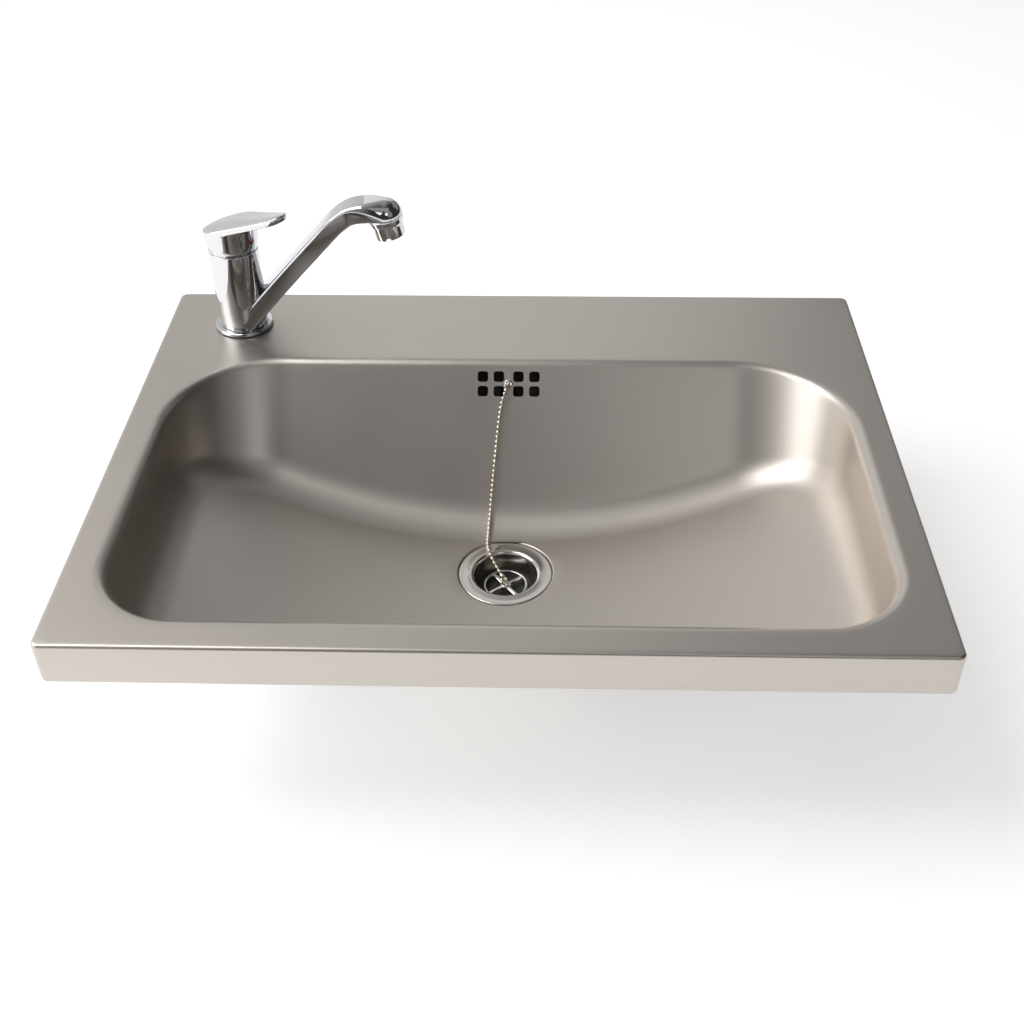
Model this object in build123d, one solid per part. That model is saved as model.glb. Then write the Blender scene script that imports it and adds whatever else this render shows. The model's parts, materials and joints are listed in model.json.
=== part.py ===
from build123d import *
from math import cos, radians, sin, sqrt, tan
import os

os.makedirs("parts", exist_ok=True)

# Hand sink pressed from stainless sheet, with a single-lever tap on its back ledge.
# Millimetres. X runs along the wall, Y points to the wall and Z points up.
# The origin is the centre of the flat back edge that stands against the wall.

# Sheet and deck
SHEET = 1.2
DECK_WIDTH = 600.0
DECK_DEPTH = 450.0
APRON_HEIGHT = 34.0
DECK_CORNER_R = 6.0
DECK_EDGE_R = 2.6
APRON_FOOT_R = 2.2
APRON_LIP = 14.0
TOP = APRON_HEIGHT / 2

# Bowl: distances are from the deck's outer edges to where the walls meet the deck plane
BOWL_SIDE_MARGIN = 28.0
BOWL_FRONT_MARGIN = 28.0
BOWL_BACK_MARGIN = 110.0
BOWL_DEPTH = 112.0
BOWL_FLOOR_R = 660.0
BOWL_RIM_R = 9.0
BOWL_FOOT_R = 42.0
FRONT_CORNER_R = 58.0
BACK_CORNER_R = 88.0
CORNER_R_LOSS = 22.0
END_DRAFT = radians(8.0)
FRONT_DRAFT = radians(7.0)
BACK_LEAN = radians(36.2)
LOFT_DEPTH = 150.0

# Waste: the flange sits in a pressed recess in the bowl's floor
WASTE_FROM_BACK = 140.0
WASTE_Y = -BOWL_BACK_MARGIN - WASTE_FROM_BACK
RECESS_R = 38.2
RECESS_DEPTH = 2.4
RECESS_EDGE_R = 1.2
FLANGE_GAP = 0.4
FLANGE_SHEET = 1.5
THROAT_R = 25.2
THROAT_WALL = 1.3

# Clearances shared by all the pieces
RUNNING_GAP = 0.08
THREAD_GAP = 0.05
PART_GAP = 0.3

# Shared by all the pieces: small bevels, and how far a cutting shape runs past what it cuts
BEVEL = 0.6
BEVEL_SHARE = 2 - sqrt(2)
OVER = 1.0
CUT = 20.0

# Tap: its place on the ledge; its own heights are measured from the deck's top face
TAP_FROM_SIDE = 67.5
TAP_FROM_WALL = 52.8
TAP_X = TAP_FROM_SIDE - DECK_WIDTH / 2
TAP_Y = -TAP_FROM_WALL
TAP_HOLE_R = 17.5


def height(above_deck):
    """Height in the part's own frame of something measured from the deck's top face."""
    return TOP + above_deck


def disc(radius, low, high, x=0.0, y=0.0):
    """Solid cylinder standing between two heights."""
    return Pos(x, y, low) * extrude(Circle(radius), high - low)


def ring(outer, inner, low, high, x=0.0, y=0.0):
    """Plain ring standing between two heights."""
    return Pos(x, y, low) * extrude(Circle(outer) - Circle(inner), high - low)


def turned(points, x=0.0, y=0.0, z=0.0):
    """Turned piece: an outline of radius and height pairs spun about the upright axis."""
    outline = make_face(Plane.XZ * Polyline(*points, close=True))
    return Pos(x, y, z) * revolve(outline, Axis.Z)


def edges_at(shape, level, half_x, low_y, high_y):
    """Edges that lie in one level plane and inside a rectangle."""
    chosen = ShapeList()
    for edge in shape.edges():
        box = edge.bounding_box()
        flat = abs(box.min.Z - level) < 0.01 and abs(box.max.Z - level) < 0.01
        inside = abs(edge.center().X) < half_x and low_y < edge.center().Y < high_y
        if flat and inside:
            chosen.append(edge)
    return chosen


def save(name, shape):
    """Write one piece of the sink under its own name."""
    export_step(shape, f"parts/{name}.step")
    print(name, "solids", len(shape.solids()), "volume", round(shape.volume, 1))


# Deck and bowl

BOWL_HALF = DECK_WIDTH / 2 - BOWL_SIDE_MARGIN
BOWL_FRONT = BOWL_FRONT_MARGIN - DECK_DEPTH
BOWL_BACK = -BOWL_BACK_MARGIN
FLOOR_Z = TOP - BOWL_DEPTH
RECESS_RISE = 2 * RECESS_EDGE_R


def bowl_outline(depth, grow):
    """Rounded outline of the bowl at one depth, grown sideways by a wall."""
    half = BOWL_HALF - depth * tan(END_DRAFT) + grow / cos(END_DRAFT)
    front = BOWL_FRONT + depth * tan(FRONT_DRAFT) - grow / cos(FRONT_DRAFT)
    back = BOWL_BACK - depth * tan(BACK_LEAN) + grow / cos(BACK_LEAN)
    loss = CORNER_R_LOSS * depth / LOFT_DEPTH
    middle = Pos(0, (front + back) / 2, TOP - depth)
    outline = middle * Rectangle(2 * half, back - front)
    outline = fillet(outline.vertices().group_by(Axis.Y)[0], FRONT_CORNER_R - loss + grow)
    return fillet(outline.vertices().group_by(Axis.Y)[-1], BACK_CORNER_R - loss + grow)


def bowl_block(grow):
    """Filled shape of the bowl: drafted walls that run into a floor curved like a trough."""
    walls = loft([bowl_outline(0, grow), bowl_outline(LOFT_DEPTH, grow)], ruled=True)
    trough = Cylinder(BOWL_FLOOR_R + grow, 2 * DECK_DEPTH)
    trough = Pos(0, -DECK_DEPTH / 2, FLOOR_Z + BOWL_FLOOR_R) * Rot(90, 0, 0) * trough
    block = walls & trough
    floor = block.faces().sort_by(Axis.Z)[0]
    return fillet(floor.edges(), BOWL_FOOT_R + grow)


def deck_slab(shrink):
    """Block inside the deck's outline, drawn in from every side."""
    plan = RectangleRounded(DECK_WIDTH - 2 * shrink, DECK_DEPTH - 2 * shrink, DECK_CORNER_R - shrink)
    return Pos(0, -DECK_DEPTH / 2, shrink - APRON_HEIGHT / 2) * extrude(plan, APRON_HEIGHT - 2 * shrink)


def deck_block():
    """Outer shape of the deck with its rounded edges."""
    block = deck_slab(0)
    block = fillet(block.faces().sort_by(Axis.Z)[-1].edges(), DECK_EDGE_R)
    return fillet(block.faces().sort_by(Axis.Z)[0].edges(), APRON_FOOT_R)


def deck_hollow():
    """Space inside the sheet; its hidden edges are bevelled to keep the bends one sheet thick."""
    block = deck_slab(SHEET)
    block = chamfer(block.faces().sort_by(Axis.Z)[-1].edges(), BEVEL_SHARE * (DECK_EDGE_R - SHEET))
    return chamfer(block.faces().sort_by(Axis.Z)[0].edges(), BEVEL_SHARE * (APRON_FOOT_R - SHEET))


def basin_tray():
    """Deck, turned-down edge and inner lip, open below."""
    opening_width = DECK_WIDTH - 2 * APRON_LIP
    opening_depth = DECK_DEPTH - 2 * APRON_LIP
    opening = extrude(RectangleRounded(opening_width, opening_depth, DECK_CORNER_R), 4 * SHEET)
    opening = Pos(0, -DECK_DEPTH / 2, -APRON_HEIGHT / 2 - 2 * SHEET) * opening
    return deck_block() - deck_hollow() - opening


def soft_top(shape, size):
    """Bevel round a piece's topmost face."""
    return chamfer(shape.faces().sort_by(Axis.Z)[-1].edges(), size)


def wire_ring(place, radius, wire_r):
    """Small closed ring, lying in one plane and slightly flattened."""
    plan = RegularPolygon(radius + wire_r, RING_SIDES) - RegularPolygon(radius - wire_r, RING_SIDES)
    return place * extrude(plan, RING_FLATNESS * wire_r, both=True)


def recess_block(grow):
    """Shallow round recess that takes the waste flange, or its outside."""
    low = FLOOR_Z - RECESS_DEPTH - grow
    return disc(RECESS_R + grow, low, FLOOR_Z + RECESS_RISE, 0, WASTE_Y)


def recess_edges(shape):
    """Upper edge of the recess, where it meets the bowl's curved floor."""
    chosen = ShapeList()
    for edge in shape.edges():
        box = edge.bounding_box()
        centre = box.center() - Vector(0, WASTE_Y, FLOOR_Z)
        central = abs(centre.X) < RECESS_R and abs(centre.Y) < RECESS_R
        small = box.size.X < 2.1 * RECESS_R and box.size.Y < 2.1 * RECESS_R
        if central and small and box.max.Z > FLOOR_Z and box.min.Z > FLOOR_Z - RECESS_DEPTH / 2:
            chosen.append(edge)
    return chosen


# The wall plane behind the bowl carries the overflow holes
WALL_OUT = Vector(0, -cos(BACK_LEAN), sin(BACK_LEAN))
WALL_DOWN = Vector(0, -sin(BACK_LEAN), -cos(BACK_LEAN))
OVERFLOW_DROP = 19.0
OVERFLOW_HOLE = 8.8
OVERFLOW_HOLE_R = 2.3
OVERFLOW_COLUMN_PITCH = 13.4
OVERFLOW_MIDDLE_PITCH = 16.4
OVERFLOW_ROW_PITCH = 12.2
OVERFLOW_CENTRE = Vector(0, BOWL_BACK, TOP) + WALL_DOWN * OVERFLOW_DROP
WALL_PLANE = Plane(origin=OVERFLOW_CENTRE, x_dir=(1, 0, 0), z_dir=WALL_OUT)


def overflow_columns():
    """Sideways places of the four columns of holes, with the wider middle gap."""
    inner = OVERFLOW_MIDDLE_PITCH / 2
    outer = inner + OVERFLOW_COLUMN_PITCH
    return [-outer, -inner, inner, outer]


def overflow_cutters(length):
    """Prisms that cut the two rows of overflow holes: squares with their corners taken off."""
    hole = Rectangle(OVERFLOW_HOLE, OVERFLOW_HOLE)
    hole = chamfer(hole.vertices(), BEVEL_SHARE * OVERFLOW_HOLE_R)
    cutters = []
    for column in overflow_columns():
        for row in (-OVERFLOW_ROW_PITCH / 2, OVERFLOW_ROW_PITCH / 2):
            prism = extrude(Pos(column, row, -length) * hole, 2 * length)
            cutters.append(WALL_PLANE * prism)
    return cutters


# Fixing points hidden behind the ledge
WALL_BOLT_SPACING = 280.0
WALL_BOLT_R = 4.5
EYE_SHANK_R = 2.0
SCREW_CLEARANCE = 0.15
WASTE_HOLE_GAP = 0.5
WASTE_HOLE_R = THROAT_R + THROAT_WALL + WASTE_HOLE_GAP
WALL_BOLT_PLACES = [-WALL_BOLT_SPACING / 2, WALL_BOLT_SPACING / 2]


def wall_bolt_cutters(length):
    """Holes for the two bolts that hold the back edge to the wall."""
    hole = Rot(90, 0, 0) * Cylinder(WALL_BOLT_R, 2 * length)
    return [Pos(x, 0, 0) * hole for x in WALL_BOLT_PLACES]


def make_basin():
    outer = basin_tray() + bowl_block(SHEET)
    bounds = (BOWL_HALF + 2 * BOWL_RIM_R, BOWL_FRONT - 2 * BOWL_RIM_R, BOWL_BACK + 2 * BOWL_RIM_R)
    outer = fillet(edges_at(outer, TOP - SHEET, *bounds), BOWL_RIM_R - SHEET)
    outer = outer + recess_block(SHEET)
    clearing = Pos(0, -DECK_DEPTH / 2, TOP + CUT / 2) * Box(2 * DECK_WIDTH, 2 * DECK_DEPTH, CUT)
    inner = clearing + bowl_block(0)
    inner = fillet(edges_at(inner, TOP, *bounds), BOWL_RIM_R)
    inner = inner + recess_block(0)
    inner = fillet(recess_edges(inner), RECESS_EDGE_R)
    basin = outer - inner
    basin -= disc(WASTE_HOLE_R, FLOOR_Z - CUT, FLOOR_Z, 0, WASTE_Y)
    basin -= disc(TAP_HOLE_R, TOP - CUT, TOP + OVER, TAP_X, TAP_Y)
    eye_hole = WALL_PLANE * Cylinder(EYE_SHANK_R + SCREW_CLEARANCE, CUT)
    return basin - overflow_cutters(CUT / 2) - eye_hole - wall_bolt_cutters(CUT)


# Stiffening and damping pieces fixed to the sheet's hidden side
TAP_PLATE_WIDTH = 92.0
TAP_PLATE_DEPTH = 74.0
TAP_PLATE = 3.0
TAP_PLATE_CORNER_R = 8.0
TAP_PLATE_HOLE_R = 18.0
RAIL_LENGTH = 340.0
RAIL_HEIGHT = 24.0
RAIL = 3.0
RAIL_CORNER_R = 2.0
PAD = 2.5
PAD_GLUE = 0.1
PAD_WIDTH = 110.0
PAD_DEPTH = 100.0
PAD_CORNER_R = 10.0
PAD_X = 125.0
PAD_FROM_WASTE = 30.0
PAD_Y = WASTE_Y - PAD_FROM_WASTE


def make_tap_plate():
    """Steel plate under the ledge that keeps the tap's nut from bending the sheet."""
    plan = RectangleRounded(TAP_PLATE_WIDTH, TAP_PLATE_DEPTH, TAP_PLATE_CORNER_R)
    plate = Pos(TAP_X, TAP_Y, TOP - SHEET - TAP_PLATE) * extrude(plan, TAP_PLATE)
    return plate - disc(TAP_PLATE_HOLE_R, 0, TOP, TAP_X, TAP_Y)


def make_wall_rail():
    """Flat bar welded inside the back edge, with the wall bolts' holes through it."""
    plan = RectangleRounded(RAIL_LENGTH, RAIL_HEIGHT, RAIL_CORNER_R)
    rail = Pos(0, -SHEET, 0) * Rot(90, 0, 0) * extrude(plan, RAIL)
    return rail - wall_bolt_cutters(CUT)


def make_sound_pads():
    """Two soft pads that follow the curve of the bowl's floor from below."""
    inner_r = BOWL_FLOOR_R + SHEET + PAD_GLUE
    shell = Cylinder(inner_r + PAD, PAD_DEPTH) - Cylinder(inner_r, PAD_DEPTH)
    shell = Pos(0, PAD_Y, FLOOR_Z + BOWL_FLOOR_R) * Rot(90, 0, 0) * shell
    block = extrude(RectangleRounded(PAD_WIDTH, PAD_DEPTH, PAD_CORNER_R), 3 * CUT)
    pads = []
    for side in (-1, 1):
        pads.append(shell & (Pos(side * PAD_X, PAD_Y, FLOOR_Z - CUT) * block))
    return Compound(children=pads)


# Waste flange: depths are measured from the lowest line of the bowl's floor
THROAT_LIP_R = 3.0
THROAT_STRAIGHT = 3.6
THROAT_TAPER = 0.8
SEAT_DEPTH = 17.5
SEAT_DROP = 8.0
SEAT_R = 20.0
THROAT_DEPTH = 33.0
FLANGE_EDGE = 0.8
CROSS_WIDTH = 5.0
CROSS_HEIGHT = 3.5
CROSS_HUB_R = 7.5
WASTE_SCREW_R = 3.0
WASTE_SCREW_HEAD_R = 6.5
WASTE_SCREW_HEAD = 2.5
SLOT_WIDTH = 1.4
SLOT_DEPTH = 1.2
FLANGE_SEAL_R = 28.5
FLANGE_SEAL_OUTER_R = 36.5


def throat_block(grow, high, low):
    """Filled shape of the throat, its conical seat and its neck, grown by a wall."""
    outline = [
        (0, high),
        (THROAT_R + grow, high),
        (THROAT_R + grow, -THROAT_STRAIGHT),
        (THROAT_R - THROAT_TAPER + grow, -SEAT_DEPTH),
        (SEAT_R + grow, -SEAT_DEPTH - SEAT_DROP),
        (SEAT_R + grow, low),
        (0, low),
    ]
    return turned(outline, 0, WASTE_Y, FLOOR_Z)


def cross(radius, width, thick, hub_r):
    """Two crossed bars with a round hub, centred on their own middle."""
    bars = Box(2 * radius, width, thick) + Box(width, 2 * radius, thick)
    return bars + Cylinder(hub_r, thick)


def make_waste_flange():
    """Pressed flange with a rolled lip, a throat, a conical seat and a cross for the screw."""
    outer_r = RECESS_R - FLANGE_GAP
    outline = [
        (0, -FLANGE_SHEET),
        (0, 0),
        (outer_r - FLANGE_EDGE, 0),
        (outer_r, -FLANGE_EDGE),
        (outer_r, -FLANGE_SHEET),
    ]
    flange = turned(outline, 0, WASTE_Y, FLOOR_Z)
    flange += throat_block(THROAT_WALL, -FLANGE_SHEET / 2, -THROAT_DEPTH)
    flange -= throat_block(0, OVER, -THROAT_DEPTH - OVER)
    lip = [edge for edge in flange.edges().filter_by(GeomType.CIRCLE) if is_lip(edge)]
    flange = fillet(lip, THROAT_LIP_R)
    bars = cross(SEAT_R + THROAT_WALL / 2, CROSS_WIDTH, CROSS_HEIGHT, CROSS_HUB_R)
    bars -= Cylinder(WASTE_SCREW_R + SCREW_CLEARANCE, 2 * CROSS_HEIGHT)
    return flange + Pos(0, WASTE_Y, FLOOR_Z - THROAT_DEPTH + CROSS_HEIGHT / 2) * bars


def is_lip(edge):
    """True for the sharp circle where the throat meets the flange's top."""
    level = abs(edge.center().Z - FLOOR_Z) < 0.01
    return level and abs(edge.radius - THROAT_R) < 0.01


# Waste body below the bowl
BOWL_UNDER = FLOOR_Z - RECESS_DEPTH - SHEET
WASTE_SEAL = 2.5
BODY_TOP = BOWL_UNDER - WASTE_SEAL
BODY_RIM_R = 37.0
BODY_RIM = 4.0
BODY_RIM_SLOPE = 3.0
BODY_R = 32.0
BODY_WALL = 2.5
BODY_CUP = 38.0
BODY_FLOOR = BODY_TOP - BODY_CUP
BODY_SLOPE = 5.0
BODY_FLOOR_THICK = 1.0
TAIL_R = 23.9
TAIL_BORE_R = 19.5
TAIL_LENGTH = 26.0
TAIL_LOW = BODY_FLOOR - TAIL_LENGTH
BODY_CROSS = 8.0
PIPE_R = 9.0
PIPE_WALL = 1.6
SOCKET_R = PIPE_R + RUNNING_GAP
STUB_R = 12.0
INLET_DROP = 24.0
INLET_REACH = 44.0
INLET_Z = BODY_TOP - INLET_DROP
INLET_Y = WASTE_Y + INLET_REACH
PIPE_PUSH = 10.0


def make_waste_seal():
    """Thick rubber ring between the bowl's underside and the waste body."""
    return ring(BODY_RIM_R, WASTE_HOLE_R + PART_GAP, BODY_TOP, BOWL_UNDER, 0, WASTE_Y)


def make_flange_seal():
    """Thin ring between the recess and the flange."""
    low = FLOOR_Z - RECESS_DEPTH
    return ring(FLANGE_SEAL_OUTER_R, FLANGE_SEAL_R, low, FLOOR_Z - FLANGE_SHEET, 0, WASTE_Y)


def make_waste_body():
    """Moulded body: cup, side inlet for the overflow, cross for the screw and threaded tail."""
    outline = [
        (0, BODY_TOP),
        (BODY_RIM_R, BODY_TOP),
        (BODY_RIM_R, BODY_TOP - BODY_RIM),
        (BODY_R, BODY_TOP - BODY_RIM - BODY_RIM_SLOPE),
        (BODY_R, BODY_FLOOR + BODY_SLOPE),
        (TAIL_R, BODY_FLOOR),
        (TAIL_R, TAIL_LOW),
        (0, TAIL_LOW),
    ]
    cup = [
        (0, BODY_TOP + OVER),
        (BODY_R - BODY_WALL, BODY_TOP + OVER),
        (BODY_R - BODY_WALL, BODY_FLOOR + BODY_SLOPE + 2 * BODY_FLOOR_THICK),
        (TAIL_BORE_R, BODY_FLOOR + BODY_FLOOR_THICK),
        (TAIL_BORE_R, TAIL_LOW - OVER),
        (0, TAIL_LOW - OVER),
    ]
    reach = INLET_Y - WASTE_Y
    inlet = Pos(0, WASTE_Y, INLET_Z) * Rot(-90, 0, 0)
    body = turned(outline, 0, WASTE_Y) + inlet * extrude(Circle(STUB_R), reach)
    body -= turned(cup, 0, WASTE_Y)
    body -= inlet * extrude(Circle(SOCKET_R), reach + OVER)
    bars = cross(TAIL_BORE_R + OVER, CROSS_WIDTH, BODY_CROSS, CROSS_HUB_R)
    body += Pos(0, WASTE_Y, BODY_FLOOR - BODY_CROSS / 2) * bars
    return body - disc(WASTE_SCREW_R + THREAD_GAP, TAIL_LOW, BODY_TOP, 0, WASTE_Y)


def make_waste_screw():
    """Slotted centre screw that pulls the flange and the waste body together."""
    head_low = FLOOR_Z - THROAT_DEPTH + CROSS_HEIGHT
    head_high = head_low + WASTE_SCREW_HEAD
    head = disc(WASTE_SCREW_HEAD_R, head_low, head_high, 0, WASTE_Y)
    head = soft_top(head, BEVEL)
    head -= Pos(0, WASTE_Y, head_high) * Box(3 * WASTE_SCREW_HEAD_R, SLOT_WIDTH, 2 * SLOT_DEPTH)
    return head + disc(WASTE_SCREW_R, BODY_FLOOR - BODY_CROSS, head_low, 0, WASTE_Y)


# Lift-out plug: a spoked metal cage over a rubber stopper
PLUG_DROP = 12.5
PLUG_TOP = FLOOR_Z - PLUG_DROP
CAGE_R = 17.8
CAGE_WALL = 2.0
CAGE_HEIGHT = 6.5
SPOKE_WIDTH = 3.2
SPOKE_HEIGHT = 2.6
SPOKE_DROP = 0.2
SPOKES = 4
SPOKE_TURN = 38.0
HUB_R = 4.4
HUB_RISE = 0.6
STOPPER_TOP = PLUG_TOP - CAGE_HEIGHT
STOPPER_HEIGHT = 5.5
STOPPER_LOW = STOPPER_TOP - STOPPER_HEIGHT
PLUG_SCREW_R = 2.0
PLUG_SCREW_HEAD_R = 4.6
PLUG_SCREW_HEAD = 1.2
PLUG_SCREW_GRIP = 4.0

# Eyes, links and the ball chain between the overflow and the plug
EYE_R = 2.7
EYE_WIRE_R = 0.8
LINK_R = 2.2
LINK_WIRE_R = 0.55
RING_SIDES = 16
RING_FLATNESS = 0.8
CLASP_R = 2.1
CHAIN_R = 1.8
CHAIN_SIDES = 8
EYE_HEAD_R = 3.6
EYE_HEAD = 1.5
EYE_SHANK = 13.0
CLASP_REACH = 7.0
CHAIN_ROUTE = [
    (-5.4, -132.4, -8.6),
    (-7.7, -142.7, -22.5),
    (-10.6, -161.4, -48.2),
    (-12.9, -177.4, -69.6),
    (-14.2, -191.5, -85.3),
    (-15.2, -207.0, -91.6),
    (-15.6, -218.5, -92.3),
    (-13.4, -228.5, -92.9),
    (-9.0, -236.5, -97.8),
]
WALL_EYE = OVERFLOW_CENTRE + WALL_OUT * (EYE_HEAD + EYE_R + EYE_WIRE_R / 2)
PLUG_EYE = Vector(0, WASTE_Y, PLUG_TOP + HUB_RISE + EYE_R - EYE_WIRE_R / 2)
CHAIN_POINTS = [Vector(*point) for point in CHAIN_ROUTE]
CHAIN_POINTS.insert(0, WALL_EYE + (CHAIN_POINTS[0] - WALL_EYE).normalized() * CLASP_REACH)
CHAIN_POINTS.append(PLUG_EYE + (CHAIN_POINTS[-1] - PLUG_EYE).normalized() * CLASP_REACH)


def seat_radius(level):
    """Radius of the throat's conical seat at one height."""
    slope = (THROAT_R - THROAT_TAPER - SEAT_R) / SEAT_DROP
    return SEAT_R + (level - FLOOR_Z + SEAT_DEPTH + SEAT_DROP) * slope


def eye(centre, stem, target):
    """Wire ring whose plane holds both its stem and the point that the chain comes from."""
    across = stem.cross(target - centre).normalized()
    return wire_ring(Plane(origin=centre, z_dir=across), EYE_R, EYE_WIRE_R)


def clasp(centre, stem, target):
    """Small link through an eye, with a round cup that holds the chain's last bead."""
    along = (target - centre).normalized()
    across = stem.cross(along).normalized()
    place = Plane(origin=centre + along * LINK_R, z_dir=along.cross(across))
    link = wire_ring(place, LINK_R, LINK_WIRE_R)
    start = 2 * LINK_R
    cup = extrude(Circle(CLASP_R), (target - centre).length - start)
    return link + Plane(origin=centre + along * start, z_dir=along) * cup


def make_plug_cage():
    """Spoked top of the plug with its hub and the chain's eye."""
    cage = ring(CAGE_R, CAGE_R - CAGE_WALL, STOPPER_TOP, PLUG_TOP, 0, WASTE_Y)
    cage = soft_top(cage, BEVEL)
    length = CAGE_R - CAGE_WALL / 2
    middle = PLUG_TOP - SPOKE_DROP - SPOKE_HEIGHT / 2
    spoke = Pos(length / 2, 0, middle) * Box(length, SPOKE_WIDTH, SPOKE_HEIGHT)
    spoke = chamfer(spoke.faces().sort_by(Axis.Z)[-1].edges().filter_by(Axis.X), BEVEL)
    for number in range(SPOKES):
        cage += Pos(0, WASTE_Y, 0) * Rot(0, 0, SPOKE_TURN + number * 360 / SPOKES) * spoke
    hub = disc(HUB_R, STOPPER_TOP, PLUG_TOP + HUB_RISE, 0, WASTE_Y)
    cage += soft_top(hub, BEVEL)
    cage += eye(PLUG_EYE, Vector(0, 0, 1), CHAIN_POINTS[-1])
    thread_high = STOPPER_TOP + PLUG_SCREW_GRIP
    return cage - disc(PLUG_SCREW_R + THREAD_GAP, STOPPER_TOP - OVER, thread_high, 0, WASTE_Y)


def make_plug_stopper():
    """Rubber stopper that closes the throat's cone when it is pressed down."""
    outline = [
        (PLUG_SCREW_R + THREAD_GAP, STOPPER_LOW),
        (seat_radius(STOPPER_LOW) - PART_GAP, STOPPER_LOW),
        (seat_radius(STOPPER_TOP) - PART_GAP, STOPPER_TOP),
        (PLUG_SCREW_R + THREAD_GAP, STOPPER_TOP),
    ]
    return turned(outline, 0, WASTE_Y)


def make_plug_screw():
    """Screw under the stopper that clamps it to the cage."""
    head = disc(PLUG_SCREW_HEAD_R, STOPPER_LOW - PLUG_SCREW_HEAD, STOPPER_LOW, 0, WASTE_Y)
    return head + disc(PLUG_SCREW_R, STOPPER_LOW, STOPPER_TOP + PLUG_SCREW_GRIP, 0, WASTE_Y)


def make_eye_screw():
    """Eye screw in the middle of the overflow: round head, shank and ring."""
    head = soft_top(extrude(Circle(EYE_HEAD_R), EYE_HEAD), BEVEL)
    screw = WALL_PLANE * (head + extrude(Circle(EYE_SHANK_R), -EYE_SHANK))
    return screw + eye(WALL_EYE, WALL_OUT, CHAIN_POINTS[0])


def bend_radii(points):
    """Radius for each inner point of a route: as wide as its shorter run allows."""
    radii = []
    for before, at, after in zip(points, points[1:], points[2:]):
        half_turn = radians((at - before).get_angle(after - at)) / 2
        shorter = min((at - before).length, (after - at).length)
        radii.append(0.45 * shorter / tan(half_turn))
    return radii


def make_ball_chain():
    """Ball chain as a plain eight-sided cord; it hangs from its eye and rests in the bowl."""
    radii = bend_radii(CHAIN_POINTS)
    print("chain radii", [round(radius, 1) for radius in radii])
    path = FilletPolyline(*CHAIN_POINTS, radius=radii)
    start = Plane(origin=path @ 0, z_dir=path % 0)
    section = RegularPolygon(CHAIN_R, CHAIN_SIDES)
    print("chain length", round(path.length, 1), "section by length", round(section.area * path.length, 1))
    return sweep(start * section, path)


# Overflow: seal, box behind the holes, rigid pipe and its two unions
BOX_WIDTH = 64.0
BOX_HEIGHT = 27.5
BOX_DEPTH = 17.0
BOX_WALL = 2.0
BOX_CORNER_R = 6.0
BOX_BEVEL = 2.0
BOX_SEAL = 2.0
BOX_SEAL_WIDTH = 3.0
BOX_BOSS_R = 3.6
STUB_Y = -113.0
STUB_START = 6.0
STUB_DROP = 38.0
STUB_HIGH = OVERFLOW_CENTRE.Z - STUB_START
STUB_LOW = OVERFLOW_CENTRE.Z - STUB_DROP
PIPE_BEND_R = 24.0
NUT_R = 16.0
NUT_GRIP = 9.0
NUT_LIP = 2.5
UNION_WASHER = 2.5
NUT_RIBS = 8
NUT_RIB = 1.0


def behind_wall(out):
    """Plane parallel to the bowl's back wall, set back from its inner face."""
    return Plane(origin=OVERFLOW_CENTRE - WALL_OUT * out, x_dir=(1, 0, 0), z_dir=-WALL_OUT)


def box_outline(shrink):
    """Rounded outline of the overflow box, shrunk by a wall."""
    return RectangleRounded(BOX_WIDTH - 2 * shrink, BOX_HEIGHT - 2 * shrink, BOX_CORNER_R - shrink)


def make_overflow_seal():
    """Flat rubber frame between the sheet and the overflow box."""
    return behind_wall(SHEET) * extrude(box_outline(0) - box_outline(BOX_SEAL_WIDTH), BOX_SEAL)


def make_overflow_box():
    """Moulded box with a boss for the eye screw and an upright outlet stub."""
    place = behind_wall(SHEET + BOX_SEAL)
    shell = extrude(box_outline(0), BOX_DEPTH)
    shell = soft_top(shell, BOX_BEVEL)
    hollow = extrude(box_outline(BOX_WALL), BOX_DEPTH - BOX_WALL)
    boss = Pos(0, 0, -BOX_SEAL) * extrude(Circle(BOX_BOSS_R), BOX_SEAL + BOX_DEPTH - BOX_WALL / 2)
    in_front = Pos(0, 0, -DECK_DEPTH / 2) * Box(DECK_DEPTH, DECK_DEPTH, DECK_DEPTH)
    stub = disc(STUB_R, STUB_LOW, STUB_HIGH, 0, STUB_Y) - place * in_front
    box = place * shell + stub - place * hollow
    box -= disc(SOCKET_R, STUB_LOW - OVER, STUB_LOW + PIPE_PUSH, 0, STUB_Y)
    box -= disc(PIPE_R - PIPE_WALL, STUB_LOW, STUB_HIGH, 0, STUB_Y)
    box += place * boss
    bore_depth = EYE_SHANK - SHEET + OVER
    return box - behind_wall(SHEET) * extrude(Circle(EYE_SHANK_R + THREAD_GAP), bore_depth)


def make_overflow_pipe():
    """Rigid pipe: down from the box, one bend and forward into the waste body."""
    top = Vector(0, STUB_Y, STUB_LOW + PIPE_PUSH)
    corner = Vector(0, STUB_Y, INLET_Z)
    end = Vector(0, INLET_Y - PIPE_PUSH, INLET_Z)
    path = FilletPolyline(top, corner, end, radius=PIPE_BEND_R)
    start = Plane(origin=path @ 0, z_dir=path % 0)
    return sweep(start * (Circle(PIPE_R) - Circle(PIPE_R - PIPE_WALL)), path)


UNION_PLACES = [
    Plane(origin=(0, STUB_Y, STUB_LOW), z_dir=(0, 0, 1)),
    Plane(origin=(0, INLET_Y, INLET_Z), z_dir=(0, -1, 0)),
]


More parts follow.
